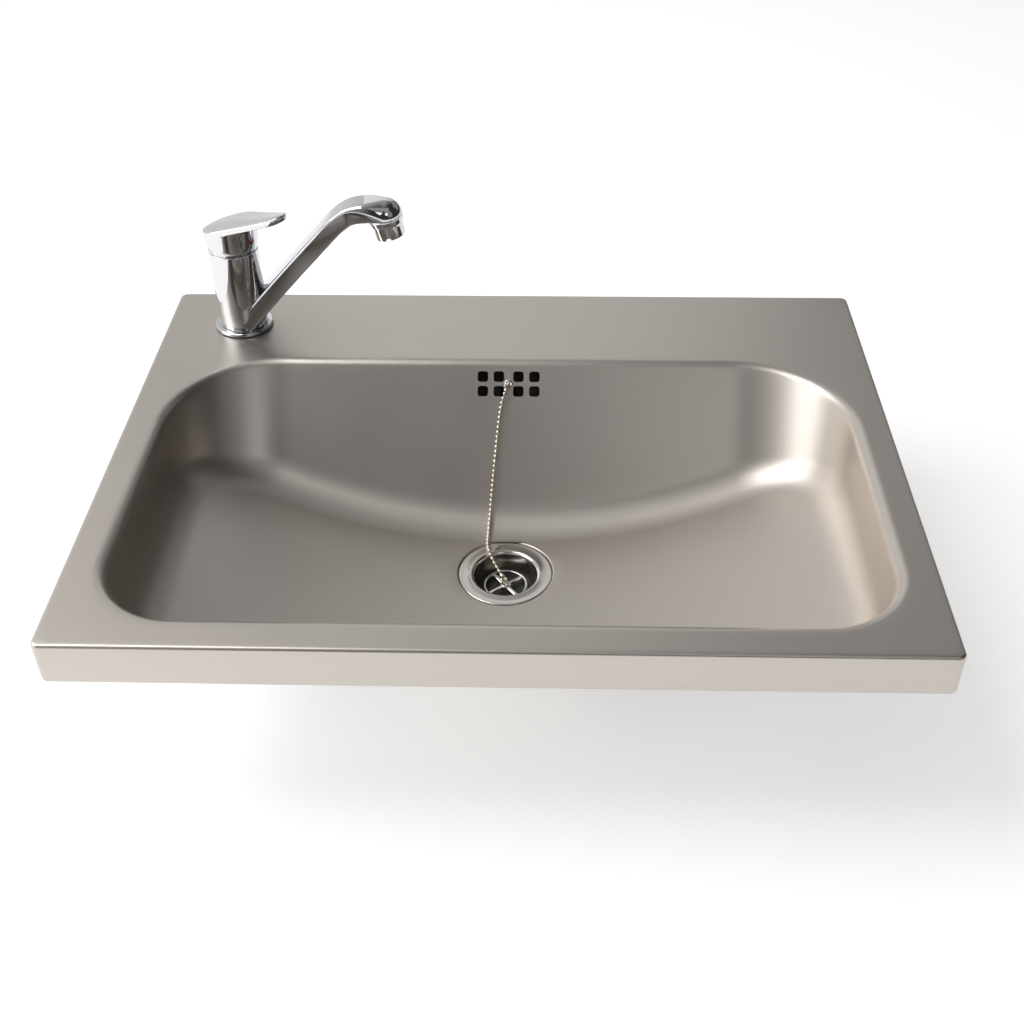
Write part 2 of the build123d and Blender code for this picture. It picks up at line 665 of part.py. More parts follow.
def make_union_nuts():
    """Two ribbed union nuts that hold the pipe in its sockets."""
    low = -UNION_WASHER - NUT_LIP
    nut = ring(NUT_R, STUB_R + THREAD_GAP, -UNION_WASHER, NUT_GRIP)
    nut += ring(NUT_R, PIPE_R + PART_GAP, low, -UNION_WASHER)
    rib = Pos(NUT_R, 0, (low + NUT_GRIP) / 2) * Box(2 * NUT_RIB, 2 * NUT_RIB, NUT_GRIP - low)
    for number in range(NUT_RIBS):
        nut += Rot(0, 0, number * 360 / NUT_RIBS) * rib
    return Compound(children=[place * nut for place in UNION_PLACES])


def make_union_washers():
    """Rubber washers squeezed round the pipe inside the union nuts."""
    washer = ring(STUB_R - THREAD_GAP, PIPE_R + THREAD_GAP, -UNION_WASHER, 0)
    return Compound(children=[place * washer for place in UNION_PLACES])


# Tap: fixed inner pieces, from the deck upwards
BASE_SEAL_HIGH = 1.0
BASE_SEAL_R = 24.3
BASE_SEAL_BORE_R = 18.0
BASE_RING_R = 24.8
BASE_RING_HIGH = 3.8
BASE_RING_BORE_R = 17.0
BASE_RING_BEVEL = 1.0
SHELL_LOW = 4.4
SHELL_HIGH = 74.6
SHELL_FOOT_R = 20.3
SHELL_R = 21.0
SHELL_EVEN = 40.0
SHELL_BORE_R = 17.9
CORE_LOW = -4.0
CORE_SHANK_R = 16.8
CORE_R = SHELL_BORE_R - RUNNING_GAP
CORE_SHOULDER = 75.0
CORE_NECK_R = 16.5
CORE_TOP = 77.0
CHAMBER_R = 15.0
CHAMBER_LOW = 14.0
CHAMBER_HIGH = 49.0
CHAMBER_OUTLET = 38.0
SEAL_HEIGHTS = (9.0, 53.5)
GROOVE = 2.4
GROOVE_DEPTH = 1.9
CARTRIDGE_SEAT = 56.0
CARTRIDGE_R = 13.9
CARTRIDGE_SHOULDER = 72.0
CARTRIDGE_NECK_R = 12.0
CARTRIDGE_TOP = 78.5
CARTRIDGE_FLOOR = 64.0
CARTRIDGE_BORE_R = CARTRIDGE_R + SCREW_CLEARANCE
PORT_R = 2.5
PORT_X = 7.5
PORT_Y = 9.5
SUPPLY_R = 5.0
SUPPLY_DEPTH = 14.0
SUPPLY_Y = 2.0
NUT_THREAD_R = 15.2
NUT_FLANGE_R = 17.4
NUT_FLANGE_HIGH = 79.6
NUT_NOTCHES = 4
NUT_NOTCH = 4.0
COLLAR_HIGH = 77.2
COLLAR_R = 20.9
DOME_R = 19.9
DOME_HIGH = 82.2
DOME_ROOF = 79.9
DOME_HOLE_R = 12.4
PIVOT = 79.5
TURRET_R = 10.4
TURRET_LOW = CARTRIDGE_FLOOR + 0.2
TURRET_HIGH = 81.6
STEM = 7.0
STEM_LOW = 70.0
STEM_HIGH = 95.0
STEM_SLOT_WIDTH = STEM + 2 * RUNNING_GAP
STEM_SLOT_LENGTH = 14.0
PIVOT_PIN_R = 1.5
PIVOT_PIN = 16.8
STEM_NOSE_R = 2.0


def tap_disc(radius, low, high):
    """Solid cylinder on the tap's axis, between two heights above the deck."""
    return disc(radius, height(low), height(high), TAP_X, TAP_Y)


def tap_ring(outer, inner, low, high):
    """Ring on the tap's axis, between two heights above the deck."""
    return ring(outer, inner, height(low), height(high), TAP_X, TAP_Y)


def tap_turned(points):
    """Turned piece on the tap's axis, with heights measured from the deck."""
    return turned(points, TAP_X, TAP_Y, TOP)


def make_tap_base_seal():
    """Flat ring that seals the tap to the deck."""
    return tap_ring(BASE_SEAL_R, BASE_SEAL_BORE_R, 0, BASE_SEAL_HIGH)


def make_tap_base_ring():
    """Bright foot ring with a bevelled upper edge."""
    foot = tap_disc(BASE_RING_R, BASE_SEAL_HIGH, BASE_RING_HIGH)
    foot = soft_top(foot, BASE_RING_BEVEL)
    return foot - tap_disc(BASE_RING_BORE_R, 0, BASE_RING_HIGH + OVER)


def make_slip_bush():
    """Thin plastic ring that the swivelling shell turns on."""
    return tap_ring(SHELL_FOOT_R - BEVEL, CORE_R + THREAD_GAP, BASE_RING_HIGH, SHELL_LOW - RUNNING_GAP)


def make_tap_core():
    """Fixed brass column with the water ways, seal grooves and the cartridge's seat."""
    outline = [
        (0, CORE_LOW),
        (CORE_SHANK_R, CORE_LOW),
        (CORE_SHANK_R, BASE_RING_HIGH),
        (CORE_R, BASE_RING_HIGH),
        (CORE_R, CHAMBER_LOW),
        (CHAMBER_R, CHAMBER_LOW),
        (CHAMBER_R, CHAMBER_HIGH),
        (CORE_R, CHAMBER_HIGH),
        (CORE_R, CORE_SHOULDER),
        (CORE_NECK_R, CORE_SHOULDER),
        (CORE_NECK_R, CORE_TOP),
        (0, CORE_TOP),
    ]
    core = tap_turned(outline)
    groove_r = CORE_R - GROOVE_DEPTH
    for level in SEAL_HEIGHTS:
        core -= tap_ring(CORE_R + OVER, groove_r, level - GROOVE / 2, level + GROOVE / 2)
    core -= tap_disc(CARTRIDGE_BORE_R, CARTRIDGE_SEAT, CORE_TOP + OVER)
    core -= tap_disc(NUT_THREAD_R + THREAD_GAP, CARTRIDGE_SHOULDER, CORE_TOP + OVER)
    low = height(CORE_LOW) - OVER
    port_high = height(CARTRIDGE_SEAT) + OVER
    for x in (TAP_X - PORT_X, TAP_X + PORT_X):
        thread_high = height(CORE_LOW + SUPPLY_DEPTH)
        core -= disc(SUPPLY_R, low, thread_high, x, TAP_Y + SUPPLY_Y)
        core -= disc(PORT_R, thread_high, port_high, x, TAP_Y)
    outlet_y = TAP_Y + PORT_Y
    outlet = Pos(TAP_X, outlet_y, height(CHAMBER_OUTLET)) * Rot(-90, 0, 0)
    core -= disc(PORT_R, height(CHAMBER_OUTLET), port_high, TAP_X, outlet_y)
    core -= outlet * extrude(Circle(PORT_R), 2 * PORT_Y)
    stud_high = height(CORE_LOW + STUD_GRIP)
    return core - disc(STUD_R + THREAD_GAP, low, stud_high, TAP_X, TAP_Y - STUD_OFFSET)


def make_spout_seals():
    """Two rubber rings that seal the swivelling shell on the core."""
    seals = []
    groove_r = CORE_R - GROOVE_DEPTH
    for level in SEAL_HEIGHTS:
        low = level - GROOVE / 2 + THREAD_GAP
        seals.append(tap_ring(CORE_R + THREAD_GAP / 2, groove_r, low, low + GROOVE - 2 * THREAD_GAP))
    return Compound(children=seals)


def make_collar_ring():
    """Bright ring between the shell and the lever, held down by the cartridge nut."""
    collar = tap_disc(COLLAR_R, CORE_SHOULDER, COLLAR_HIGH)
    collar = chamfer(collar.edges().filter_by(GeomType.CIRCLE), BEVEL / 2)
    return collar - tap_disc(CORE_NECK_R + THREAD_GAP, CORE_SHOULDER - OVER, COLLAR_HIGH + OVER)


def make_cartridge_housing():
    """Cartridge case with two inlet ports, one outlet port and a neck for the turret."""
    outline = [
        (0, CARTRIDGE_SEAT),
        (CARTRIDGE_R, CARTRIDGE_SEAT),
        (CARTRIDGE_R, CARTRIDGE_SHOULDER),
        (CARTRIDGE_NECK_R, CARTRIDGE_SHOULDER),
        (CARTRIDGE_NECK_R, CARTRIDGE_TOP),
        (0, CARTRIDGE_TOP),
    ]
    case = tap_turned(outline) - tap_disc(TURRET_R + RUNNING_GAP, CARTRIDGE_FLOOR, CARTRIDGE_TOP + OVER)
    low = height(CARTRIDGE_SEAT) - OVER
    high = height(CARTRIDGE_FLOOR) + OVER
    for x, y in ((-PORT_X, 0), (PORT_X, 0), (0, PORT_Y)):
        case -= disc(PORT_R, low, high, TAP_X + x, TAP_Y + y)
    return case


def make_cartridge_nut():
    """Threaded ring that holds the cartridge down, with four notches for the spanner."""
    bore_r = CARTRIDGE_NECK_R + SCREW_CLEARANCE
    nut = tap_ring(NUT_THREAD_R, bore_r, CARTRIDGE_SHOULDER, COLLAR_HIGH)
    nut += tap_ring(NUT_FLANGE_R, bore_r, COLLAR_HIGH, NUT_FLANGE_HIGH)
    notch = Pos(NUT_FLANGE_R, 0, 0) * Box(NUT_NOTCH, NUT_NOTCH, NUT_NOTCH / 2)
    for number in range(NUT_NOTCHES):
        turn = Rot(0, 0, (number + 0.5) * 360 / NUT_NOTCHES)
        nut -= Pos(TAP_X, TAP_Y, height(NUT_FLANGE_HIGH)) * turn * notch
    return nut


def make_dome_ring():
    """Ball-shaped cover over the cartridge nut, under the lever's skirt."""
    ball = Pos(TAP_X, TAP_Y, height(PIVOT)) * Sphere(DOME_R)
    dome = ball & tap_disc(DOME_R + OVER, COLLAR_HIGH, DOME_HIGH)
    dome -= tap_disc(NUT_FLANGE_R + SCREW_CLEARANCE, COLLAR_HIGH - OVER, DOME_ROOF)
    return dome - tap_disc(DOME_HOLE_R, COLLAR_HIGH, DOME_HIGH + OVER)


# Swivelling shell with its spout; the spout's stations follow its upper line
ARM_DEPTH = 15.0
ARM_SLOPE = 47.0
ARM_START = (-1.0, 13.4)
ARM_STRAIGHT = 117.4
ARM_WIDTHS = [(0, 20.3), (30.8, 15.5), (60.1, 12.4), (89.4, 12.0), (ARM_STRAIGHT, 12.0)]
BEND_R = 80.0
BEND_TURN = 14.0
ARCH_R = 42.0
ARCH_END = -9.0
ARCH_STATIONS = 3
HEAD_R = 15.0
HEAD_RIM = 9.5
HEAD_CROWN = 20.4
NOZZLE_R = 14.5
NOZZLE_TILT = radians(12.0)
NOZZLE_S = 131.0
NOZZLE_LOW = 98.8
NOZZLE_BORE_R = 12.1
NOZZLE_BORE = 8.0
ARM_EDGE_R = 2.2
BEND_EDGE_R = 3.0
HEAD_EDGE_R = 7.0
WATERWAY_R = 4.5
WATERWAY_LEVEL = 109.0
WATERWAY_BEND_R = 30.0
WATERWAY_START = 12.0
WATERWAY_SHORT = 4.0
AERATOR_R = 13.1
AERATOR_DROP = 12.0
AERATOR_BORE_R = 11.0
AERATOR_LIP_R = 10.2
AERATOR_LIP = 1.0
AERATOR_NECK = 6.0
AERATOR_NOTCH_WIDTH = 4.0
AERATOR_NOTCH = 2.2
WASHER_BORE_R = 7.0
INSERT_R = 10.9
INSERT_GROOVE_R = 8.5
INSERT_GROOVE = 2.0
SPOUT_PLACE = Pos(TAP_X, TAP_Y, TOP)
NOZZLE_PLANE = Plane(
    origin=(NOZZLE_S, 0, NOZZLE_LOW),
    x_dir=(cos(NOZZLE_TILT), 0, sin(NOZZLE_TILT)),
    z_dir=(-sin(NOZZLE_TILT), 0, cos(NOZZLE_TILT)),
)


def arm_section(reach, rise, slope, half_width, edge_r):
    """One cross-section of the spout, square to its upper line."""
    heading = radians(slope)
    place = Plane(origin=(reach, 0, rise), x_dir=(0, 1, 0), z_dir=(cos(heading), 0, sin(heading)))
    shape = Pos(0, -ARM_DEPTH / 2) * Rectangle(2 * half_width, ARM_DEPTH)
    shape = fillet(shape.vertices().group_by(Axis.Y)[-1], edge_r)
    shape = fillet(shape.vertices().group_by(Axis.Y)[0], ARM_EDGE_R)
    return place * shape


def arc_end(start, radius, slope_from, slope_to):
    """Point reached from a start by turning downwards along an arc."""
    first = radians(slope_from)
    last = radians(slope_to)
    reach = start[0] + radius * (sin(first) - sin(last))
    rise = start[1] + radius * (cos(last) - cos(first))
    return reach, rise


def arm_sections():
    """Stations of the spout: a straight run, an easy bend and a tighter arch."""
    slope = radians(ARM_SLOPE)
    sections = []
    for distance, half_width in ARM_WIDTHS:
        point = (ARM_START[0] + distance * cos(slope), ARM_START[1] + distance * sin(slope))
        sections.append(arm_section(*point, ARM_SLOPE, half_width, ARM_EDGE_R))
    bend_slope = ARM_SLOPE - BEND_TURN
    point = arc_end(point, BEND_R, ARM_SLOPE, bend_slope)
    half_width = ARM_WIDTHS[-1][1]
    sections.append(arm_section(*point, bend_slope, half_width, BEND_EDGE_R))
    for number in range(1, ARCH_STATIONS + 1):
        share = number / ARCH_STATIONS
        station_slope = bend_slope + (ARCH_END - bend_slope) * share
        station = arc_end(point, ARCH_R, bend_slope, station_slope)
        width = half_width + (HEAD_R - half_width) * share
        edge_r = ARM_EDGE_R + (HEAD_EDGE_R - ARM_EDGE_R) * share
        sections.append(arm_section(*station, station_slope, width, edge_r))
    return sections


def nozzle_disc(radius, low, high):
    """Cylinder on the nozzle's leaning axis, from the nozzle's lower rim."""
    return NOZZLE_PLANE * (Pos(0, 0, low) * extrude(Circle(radius), high - low))


def nozzle_ring(outer, inner, low, high):
    """Ring on the nozzle's leaning axis."""
    return NOZZLE_PLANE * (Pos(0, 0, low) * extrude(Circle(outer) - Circle(inner), high - low))


def head_block():
    """Round spout head: a slightly flared neck under a ball-shaped crown."""
    outline = [
        (0, 0),
        (NOZZLE_R, 0),
        (NOZZLE_R, HEAD_RIM / 3),
        (HEAD_R, HEAD_RIM * 2 / 3),
        (HEAD_R, HEAD_RIM),
        (0, HEAD_RIM),
    ]
    crown = HEAD_CROWN - HEAD_RIM
    ball_r = (HEAD_R**2 + crown**2) / (2 * crown)
    cap = Pos(0, 0, HEAD_CROWN - ball_r) * Sphere(ball_r)
    return NOZZLE_PLANE * (turned(outline) + (cap & disc(ball_r, HEAD_RIM, HEAD_CROWN + 1)))


def waterway():
    """Bore that leads from the chamber round the core to the nozzle."""
    slope = radians(ARM_SLOPE)
    foot_reach = ARM_START[0] + WATERWAY_START + ARM_DEPTH / 2 * sin(slope)
    foot_rise = ARM_START[1] + WATERWAY_START * tan(slope) - ARM_DEPTH / 2 * cos(slope)
    foot = Vector(foot_reach, 0, foot_rise)
    corner = foot + Vector(1 / tan(slope), 0, 1) * (WATERWAY_LEVEL - foot_rise)
    end = Vector(NOZZLE_S - WATERWAY_SHORT, 0, WATERWAY_LEVEL)
    path = FilletPolyline(foot, corner, end, radius=WATERWAY_BEND_R)
    start = Plane(origin=path @ 0, z_dir=path % 0)
    return sweep(start * Circle(WATERWAY_R), path)


def make_spout_shell():
    """One casting: round shell, flat-sided arched spout and round nozzle head."""
    outline = [
        (0, SHELL_LOW),
        (SHELL_FOOT_R, SHELL_LOW),
        (SHELL_R, SHELL_EVEN),
        (SHELL_R, SHELL_HIGH),
        (0, SHELL_HIGH),
    ]
    barrel = turned(outline)
    barrel = soft_top(barrel, BEVEL)
    barrel = chamfer(barrel.faces().sort_by(Axis.Z)[0].edges(), BEVEL)
    casting = barrel + loft(arm_sections(), ruled=True) + head_block()
    casting -= disc(SHELL_BORE_R, -SHELL_HIGH, SHELL_HIGH + OVER)
    casting -= disc(4 * SHELL_R, -SHELL_HIGH, SHELL_LOW)
    casting -= waterway()
    casting -= nozzle_disc(NOZZLE_BORE_R, -OVER, NOZZLE_BORE)
    return SPOUT_PLACE * casting


def make_aerator_housing():
    """Screwed ring at the nozzle, with a neck, an inner lip and two spanner notches."""
    housing = nozzle_ring(AERATOR_R, AERATOR_BORE_R, -AERATOR_DROP, 0)
    housing += nozzle_ring(NOZZLE_BORE_R - THREAD_GAP, AERATOR_BORE_R, 0, AERATOR_NECK)
    housing += nozzle_ring(AERATOR_R, AERATOR_LIP_R, -AERATOR_DROP, AERATOR_LIP - AERATOR_DROP)
    notch = Box(AERATOR_NOTCH_WIDTH, 3 * AERATOR_R, 2 * AERATOR_NOTCH)
    housing -= NOZZLE_PLANE * Pos(0, 0, -AERATOR_DROP) * notch
    return SPOUT_PLACE * housing


def make_aerator_insert():
    """Mesh cartridge inside the aerator, with a groove in its lower face."""
    low = AERATOR_LIP - AERATOR_DROP
    insert = nozzle_disc(INSERT_R, low, AERATOR_NECK)
    insert -= nozzle_ring(INSERT_GROOVE_R, INSERT_GROOVE_R - INSERT_GROOVE, low - OVER, low + OVER)
    return SPOUT_PLACE * insert


def make_aerator_washer():
    """Flat washer between the aerator and the nozzle."""
    return SPOUT_PLACE * nozzle_ring(NOZZLE_BORE_R - THREAD_GAP, WASHER_BORE_R, AERATOR_NECK, NOZZLE_BORE)


# Lever: it is drawn along X, then turned to its resting direction
LEVER_TURN = -32.0
LEVER_PLACE = SPOUT_PLACE * Rot(0, 0, LEVER_TURN)
SKIRT_LOW = 77.6
SKIRT_R = 21.8
CAP_HIGH = 112.0
CAP_R = 24.5
CAP_TILT = 17.0
CAP_MIDDLE = 98.7
HANDLE_END_R = 11.5
HANDLE_REACH = 62.0
HANDLE_ROOT_R = 22.2
HANDLE_THICK = 5.5
HANDLE_EDGE_R = 1.2
CAVITY_R = 20.5
CAVITY_HIGH = 89.0
BACK_CUT_TILT = 17.5
BOSS_R = 6.5
BOSS_LOW = 85.0
WEB_R = 3.2
GRUB_LEVEL = 86.0
GRUB_R = 2.0
GRUB_LENGTH = 8.0
GRUB_KEY_R = 1.1
GRUB_KEY_DEPTH = 3.0
INDICATOR_R = 3.0
INDICATOR_DEPTH = 1.9


def lever_top():
    """Sloping plane of the lever's flat top."""
    tilt = radians(CAP_TILT)
    along = (cos(tilt), 0, sin(tilt))
    return Plane(origin=(0, 0, CAP_MIDDLE), x_dir=along, z_dir=(-sin(tilt), 0, cos(tilt)))


def skirt_radius(level):
    """Outer radius of the lever's slightly flared cap."""
    return SKIRT_R + (level - SKIRT_LOW) * (CAP_R - SKIRT_R) / (CAP_HIGH - SKIRT_LOW)


def lever_blank():
    """Flared cap and tapered handle that share one sloping, softly edged top."""
    above = lever_top() * (Pos(0, 0, CAP_HIGH) * Box(4 * CAP_HIGH, 4 * CAP_HIGH, 2 * CAP_HIGH))
    cap = turned([(0, SKIRT_LOW), (SKIRT_R, SKIRT_LOW), (CAP_R, CAP_HIGH), (0, CAP_HIGH)]) - above
    cap = fillet(cap.faces().sort_by(Axis.Z)[-1].edges(), HANDLE_EDGE_R)
    end = HANDLE_REACH / cos(radians(CAP_TILT)) - HANDLE_END_R
    outline = make_hull([*Circle(HANDLE_ROOT_R).edges(), *(Pos(end, 0) * Circle(HANDLE_END_R)).edges()])
    handle = extrude(outline, -HANDLE_THICK)
    handle = fillet(handle.edges().filter_by(Axis.Z, reverse=True), HANDLE_EDGE_R)
    return cap + lever_top() * handle


def make_lever():
    """Lever with its handle, hollow skirt, stem socket and the grub screw's bore."""
    lever = lever_blank()
    below = disc(CAVITY_R, SKIRT_LOW - OVER, PIVOT)
    cavity = Pos(0, 0, PIVOT) * Sphere(CAVITY_R) & disc(CAVITY_R + OVER, SKIRT_LOW, CAVITY_HIGH)
    lever -= below + cavity
    lever += disc(BOSS_R, BOSS_LOW, CAVITY_HIGH + OVER)
    lever += Pos(0, 0, GRUB_LEVEL) * Rot(0, 90, 0) * extrude(Circle(WEB_R), CAVITY_R)
    cut = Pos(0, 0, -CAP_HIGH) * Box(4 * CAP_HIGH, 4 * CAP_HIGH, 2 * CAP_HIGH)
    lever -= Pos(0, 0, SKIRT_LOW) * Rot(0, BACK_CUT_TILT, 0) * cut
    socket = STEM + 2 * THREAD_GAP
    lever -= Pos(0, 0, (STEM_HIGH + PIVOT) / 2) * Box(socket, socket, STEM_HIGH - PIVOT)
    bore = Pos(0, 0, GRUB_LEVEL) * Rot(0, 90, 0)
    lever -= bore * extrude(Circle(GRUB_R + THREAD_GAP), CAP_R + OVER)
    seat = Pos(0, 0, skirt_radius(GRUB_LEVEL) - INDICATOR_DEPTH)
    lever -= bore * seat * extrude(Circle(INDICATOR_R), CAP_R)
    return LEVER_PLACE * lever


def make_indicator():
    """Small plug that hides the grub screw and shows hot and cold."""
    outer = skirt_radius(GRUB_LEVEL)
    plug = Pos(outer - INDICATOR_DEPTH, 0, GRUB_LEVEL) * Rot(0, 90, 0)
    plug = plug * extrude(Circle(INDICATOR_R - THREAD_GAP), INDICATOR_DEPTH)
    return LEVER_PLACE * chamfer(plug.faces().sort_by(Axis.X)[-1].edges(), BEVEL / 2)


def make_grub_screw():
    """Socket screw that clamps the lever on the stem."""
    start = Pos(STEM / 2, 0, GRUB_LEVEL) * Rot(0, 90, 0)
    key = extrude(RegularPolygon(GRUB_KEY_R, 6), 2 * GRUB_KEY_DEPTH)
    screw = extrude(Circle(GRUB_R), GRUB_LENGTH) - Pos(0, 0, GRUB_LENGTH - GRUB_KEY_DEPTH) * key
    return LEVER_PLACE * start * screw


def make_cartridge_stem():
    """Square stem that the lever tilts about its cross pin."""
    stem = Pos(0, 0, (STEM_LOW + STEM_HIGH) / 2) * Box(STEM, STEM, STEM_HIGH - STEM_LOW)
    stem = fillet(stem.faces().sort_by(Axis.Z)[0].edges(), STEM_NOSE_R)
    pin_hole = Pos(0, 0, PIVOT) * Rot(90, 0, 0) * Cylinder(PIVOT_PIN_R + RUNNING_GAP, 4 * STEM)
    return LEVER_PLACE * (stem - pin_hole)


def make_cartridge_turret():
    """Turning part of the cartridge, slotted for the stem and carrying its pin."""
    turret = disc(TURRET_R, TURRET_LOW, TURRET_HIGH)
    slot_middle = (TURRET_LOW + TURRET_HIGH) / 2
    slot = Box(STEM_SLOT_LENGTH, STEM_SLOT_WIDTH, 2 * (TURRET_HIGH - TURRET_LOW))
    turret -= Pos(0, 0, slot_middle) * slot
    pin = Pos(0, 0, PIVOT) * Rot(90, 0, 0) * Cylinder(PIVOT_PIN_R, PIVOT_PIN)
    return LEVER_PLACE * (turret + pin)


# Fixing below the ledge
STUD_R = 4.0
STUD_OFFSET = 9.5
STUD_GRIP = 10.0
STUD_LENGTH = 60.0
SHOE_R = 24.0
SHOE_SLOT = 27.0
SHOE_SLOT_START = -4.0
SHOE_SLOT_R = 8.0
SHOE_RUBBER = 3.0
SHOE_PLATE = 3.0
FIXING_NUT_FLATS = 13.0
FIXING_NUT_HEIGHT = 8.0
SHOE_HIGH = -SHEET - TAP_PLATE


def make_fixing_stud():
    """Threaded rod that hangs from the tap's core."""
    high = height(CORE_LOW + STUD_GRIP)
    return disc(STUD_R, high - STUD_LENGTH, high, TAP_X, TAP_Y - STUD_OFFSET)


def shoe(low, high):
    """Horseshoe that leaves room for the two water connections."""
    slot = RectangleRounded(SHOE_SLOT, 2 * SHOE_R, SHOE_SLOT_R)
    plan = Circle(SHOE_R) - Pos(0, SHOE_SLOT_START + SHOE_R) * slot
    plan -= Pos(0, -STUD_OFFSET) * Circle(STUD_R + SCREW_CLEARANCE)
    return Pos(TAP_X, TAP_Y, height(low)) * extrude(plan, high - low)


def make_shoe_rubber():
    """Rubber horseshoe under the reinforcing plate."""
    return shoe(SHOE_HIGH - SHOE_RUBBER, SHOE_HIGH)


def make_shoe_plate():
    """Steel horseshoe that spreads the nut's pull."""
    high = SHOE_HIGH - SHOE_RUBBER
    return shoe(high - SHOE_PLATE, high)


def make_fixing_nut():
    """Long hexagon nut on the stud."""
    low = height(SHOE_HIGH - SHOE_RUBBER - SHOE_PLATE - FIXING_NUT_HEIGHT)
    plan = RegularPolygon(FIXING_NUT_FLATS / 2, 6, major_radius=False) - Circle(STUD_R + THREAD_GAP)
    return Pos(TAP_X, TAP_Y - STUD_OFFSET, low) * extrude(plan, FIXING_NUT_HEIGHT)


basin = make_basin()
save("basin", basin)
save("tap_plate", make_tap_plate())
save("wall_rail", make_wall_rail())
save("sound_pads", make_sound_pads())

save("waste_flange", make_waste_flange())
save("flange_seal", make_flange_seal())
save("waste_seal", make_waste_seal())
save("waste_body", make_waste_body())
save("waste_screw", make_waste_screw())
save("plug_cage", make_plug_cage())
save("plug_stopper", make_plug_stopper())
save("plug_screw", make_plug_screw())

save("chain_eye_screw", make_eye_screw())
save("chain_clasp_top", clasp(WALL_EYE, WALL_OUT, CHAIN_POINTS[0]))
save("ball_chain", make_ball_chain())
save("chain_clasp_low", clasp(PLUG_EYE, Vector(0, 0, 1), CHAIN_POINTS[-1]))
save("overflow_seal", make_overflow_seal())
save("overflow_box", make_overflow_box())
save("overflow_pipe", make_overflow_pipe())
save("union_nuts", make_union_nuts())
save("union_washers", make_union_washers())

save("tap_base_seal", make_tap_base_seal())
save("tap_base_ring", make_tap_base_ring())
save("slip_bush", make_slip_bush())
save("tap_core", make_tap_core())
save("spout_seals", make_spout_seals())
save("spout_shell", make_spout_shell())
save("aerator_housing", make_aerator_housing())
save("aerator_insert", make_aerator_insert())
save("aerator_washer", make_aerator_washer())
save("collar_ring", make_collar_ring())
save("cartridge_housing", make_cartridge_housing())
save("cartridge_nut", make_cartridge_nut())
save("cartridge_turret", make_cartridge_turret())
save("cartridge_stem", make_cartridge_stem())
save("dome_ring", make_dome_ring())
save("lever", make_lever())
save("lever_indicator", make_indicator())
save("grub_screw", make_grub_screw())

save("fixing_stud", make_fixing_stud())
save("shoe_rubber", make_shoe_rubber())
save("shoe_plate", make_shoe_plate())
save("fixing_nut", make_fixing_nut())
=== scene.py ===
# %% [markdown]
# This scene dresses a hand sink: a pressed steel bowl, a chrome tap and a ball chain.
# The solid model is loaded first. It is the fixed frame that every piece is built around, in metres.

# %% Load the frame
import json
from math import cos, pi, radians, sin, sqrt, tan

import bmesh
import bpy
import numpy as np
from mathutils import Matrix, Vector


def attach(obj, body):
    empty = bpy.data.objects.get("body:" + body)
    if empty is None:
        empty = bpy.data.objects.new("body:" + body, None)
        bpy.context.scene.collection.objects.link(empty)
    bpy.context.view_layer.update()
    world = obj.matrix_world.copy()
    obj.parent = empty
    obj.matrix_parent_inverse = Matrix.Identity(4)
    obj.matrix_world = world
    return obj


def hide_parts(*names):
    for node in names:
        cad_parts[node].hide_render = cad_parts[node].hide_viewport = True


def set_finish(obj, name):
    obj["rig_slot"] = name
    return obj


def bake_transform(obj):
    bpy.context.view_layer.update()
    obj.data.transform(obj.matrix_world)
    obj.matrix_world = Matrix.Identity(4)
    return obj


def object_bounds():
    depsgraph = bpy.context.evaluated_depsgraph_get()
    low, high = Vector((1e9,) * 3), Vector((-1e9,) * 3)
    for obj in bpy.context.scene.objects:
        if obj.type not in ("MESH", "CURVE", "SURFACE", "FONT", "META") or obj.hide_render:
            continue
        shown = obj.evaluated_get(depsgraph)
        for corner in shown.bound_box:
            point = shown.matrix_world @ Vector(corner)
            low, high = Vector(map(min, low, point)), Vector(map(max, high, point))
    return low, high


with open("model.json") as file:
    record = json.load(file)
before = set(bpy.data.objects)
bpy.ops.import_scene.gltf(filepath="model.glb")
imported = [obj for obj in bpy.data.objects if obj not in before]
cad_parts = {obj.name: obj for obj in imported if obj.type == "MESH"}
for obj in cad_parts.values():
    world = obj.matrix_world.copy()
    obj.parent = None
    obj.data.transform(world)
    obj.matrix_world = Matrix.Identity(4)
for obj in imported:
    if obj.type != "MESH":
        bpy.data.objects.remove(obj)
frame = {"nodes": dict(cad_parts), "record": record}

cad_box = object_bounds()
nodes = frame["nodes"]
MM = 0.001
print("nodes loaded:", len(nodes), "box:", [[round(v, 4) for v in p] for p in cad_box])

# %% [markdown]
# The camera comes first, because every later choice is judged through it.
# Its place and its three axes were worked out from the corners of the deck in the photograph.
# A camera looks along its own minus Z, so its Z column points back at the photographer.

# %% Camera
camera_data = bpy.data.cameras.new("camera")
camera_data.sensor_width = 36.0
camera_data.lens = 45.77
camera = bpy.data.objects.new("camera", camera_data)
bpy.context.collection.objects.link(camera)
right = Vector((0.999652, 0.025316, -0.007462))
up = Vector((-0.010283, 0.633983, 0.773279))
back = Vector((0.024307, -0.772933, 0.634022))
turn = Matrix((right, up, back)).transposed().to_4x4()
camera.matrix_world = Matrix.Translation((0.0305, -1.03305, 0.61083)) @ turn
bpy.context.scene.camera = camera
print("camera stands at", [round(v, 3) for v in camera.matrix_world.translation])
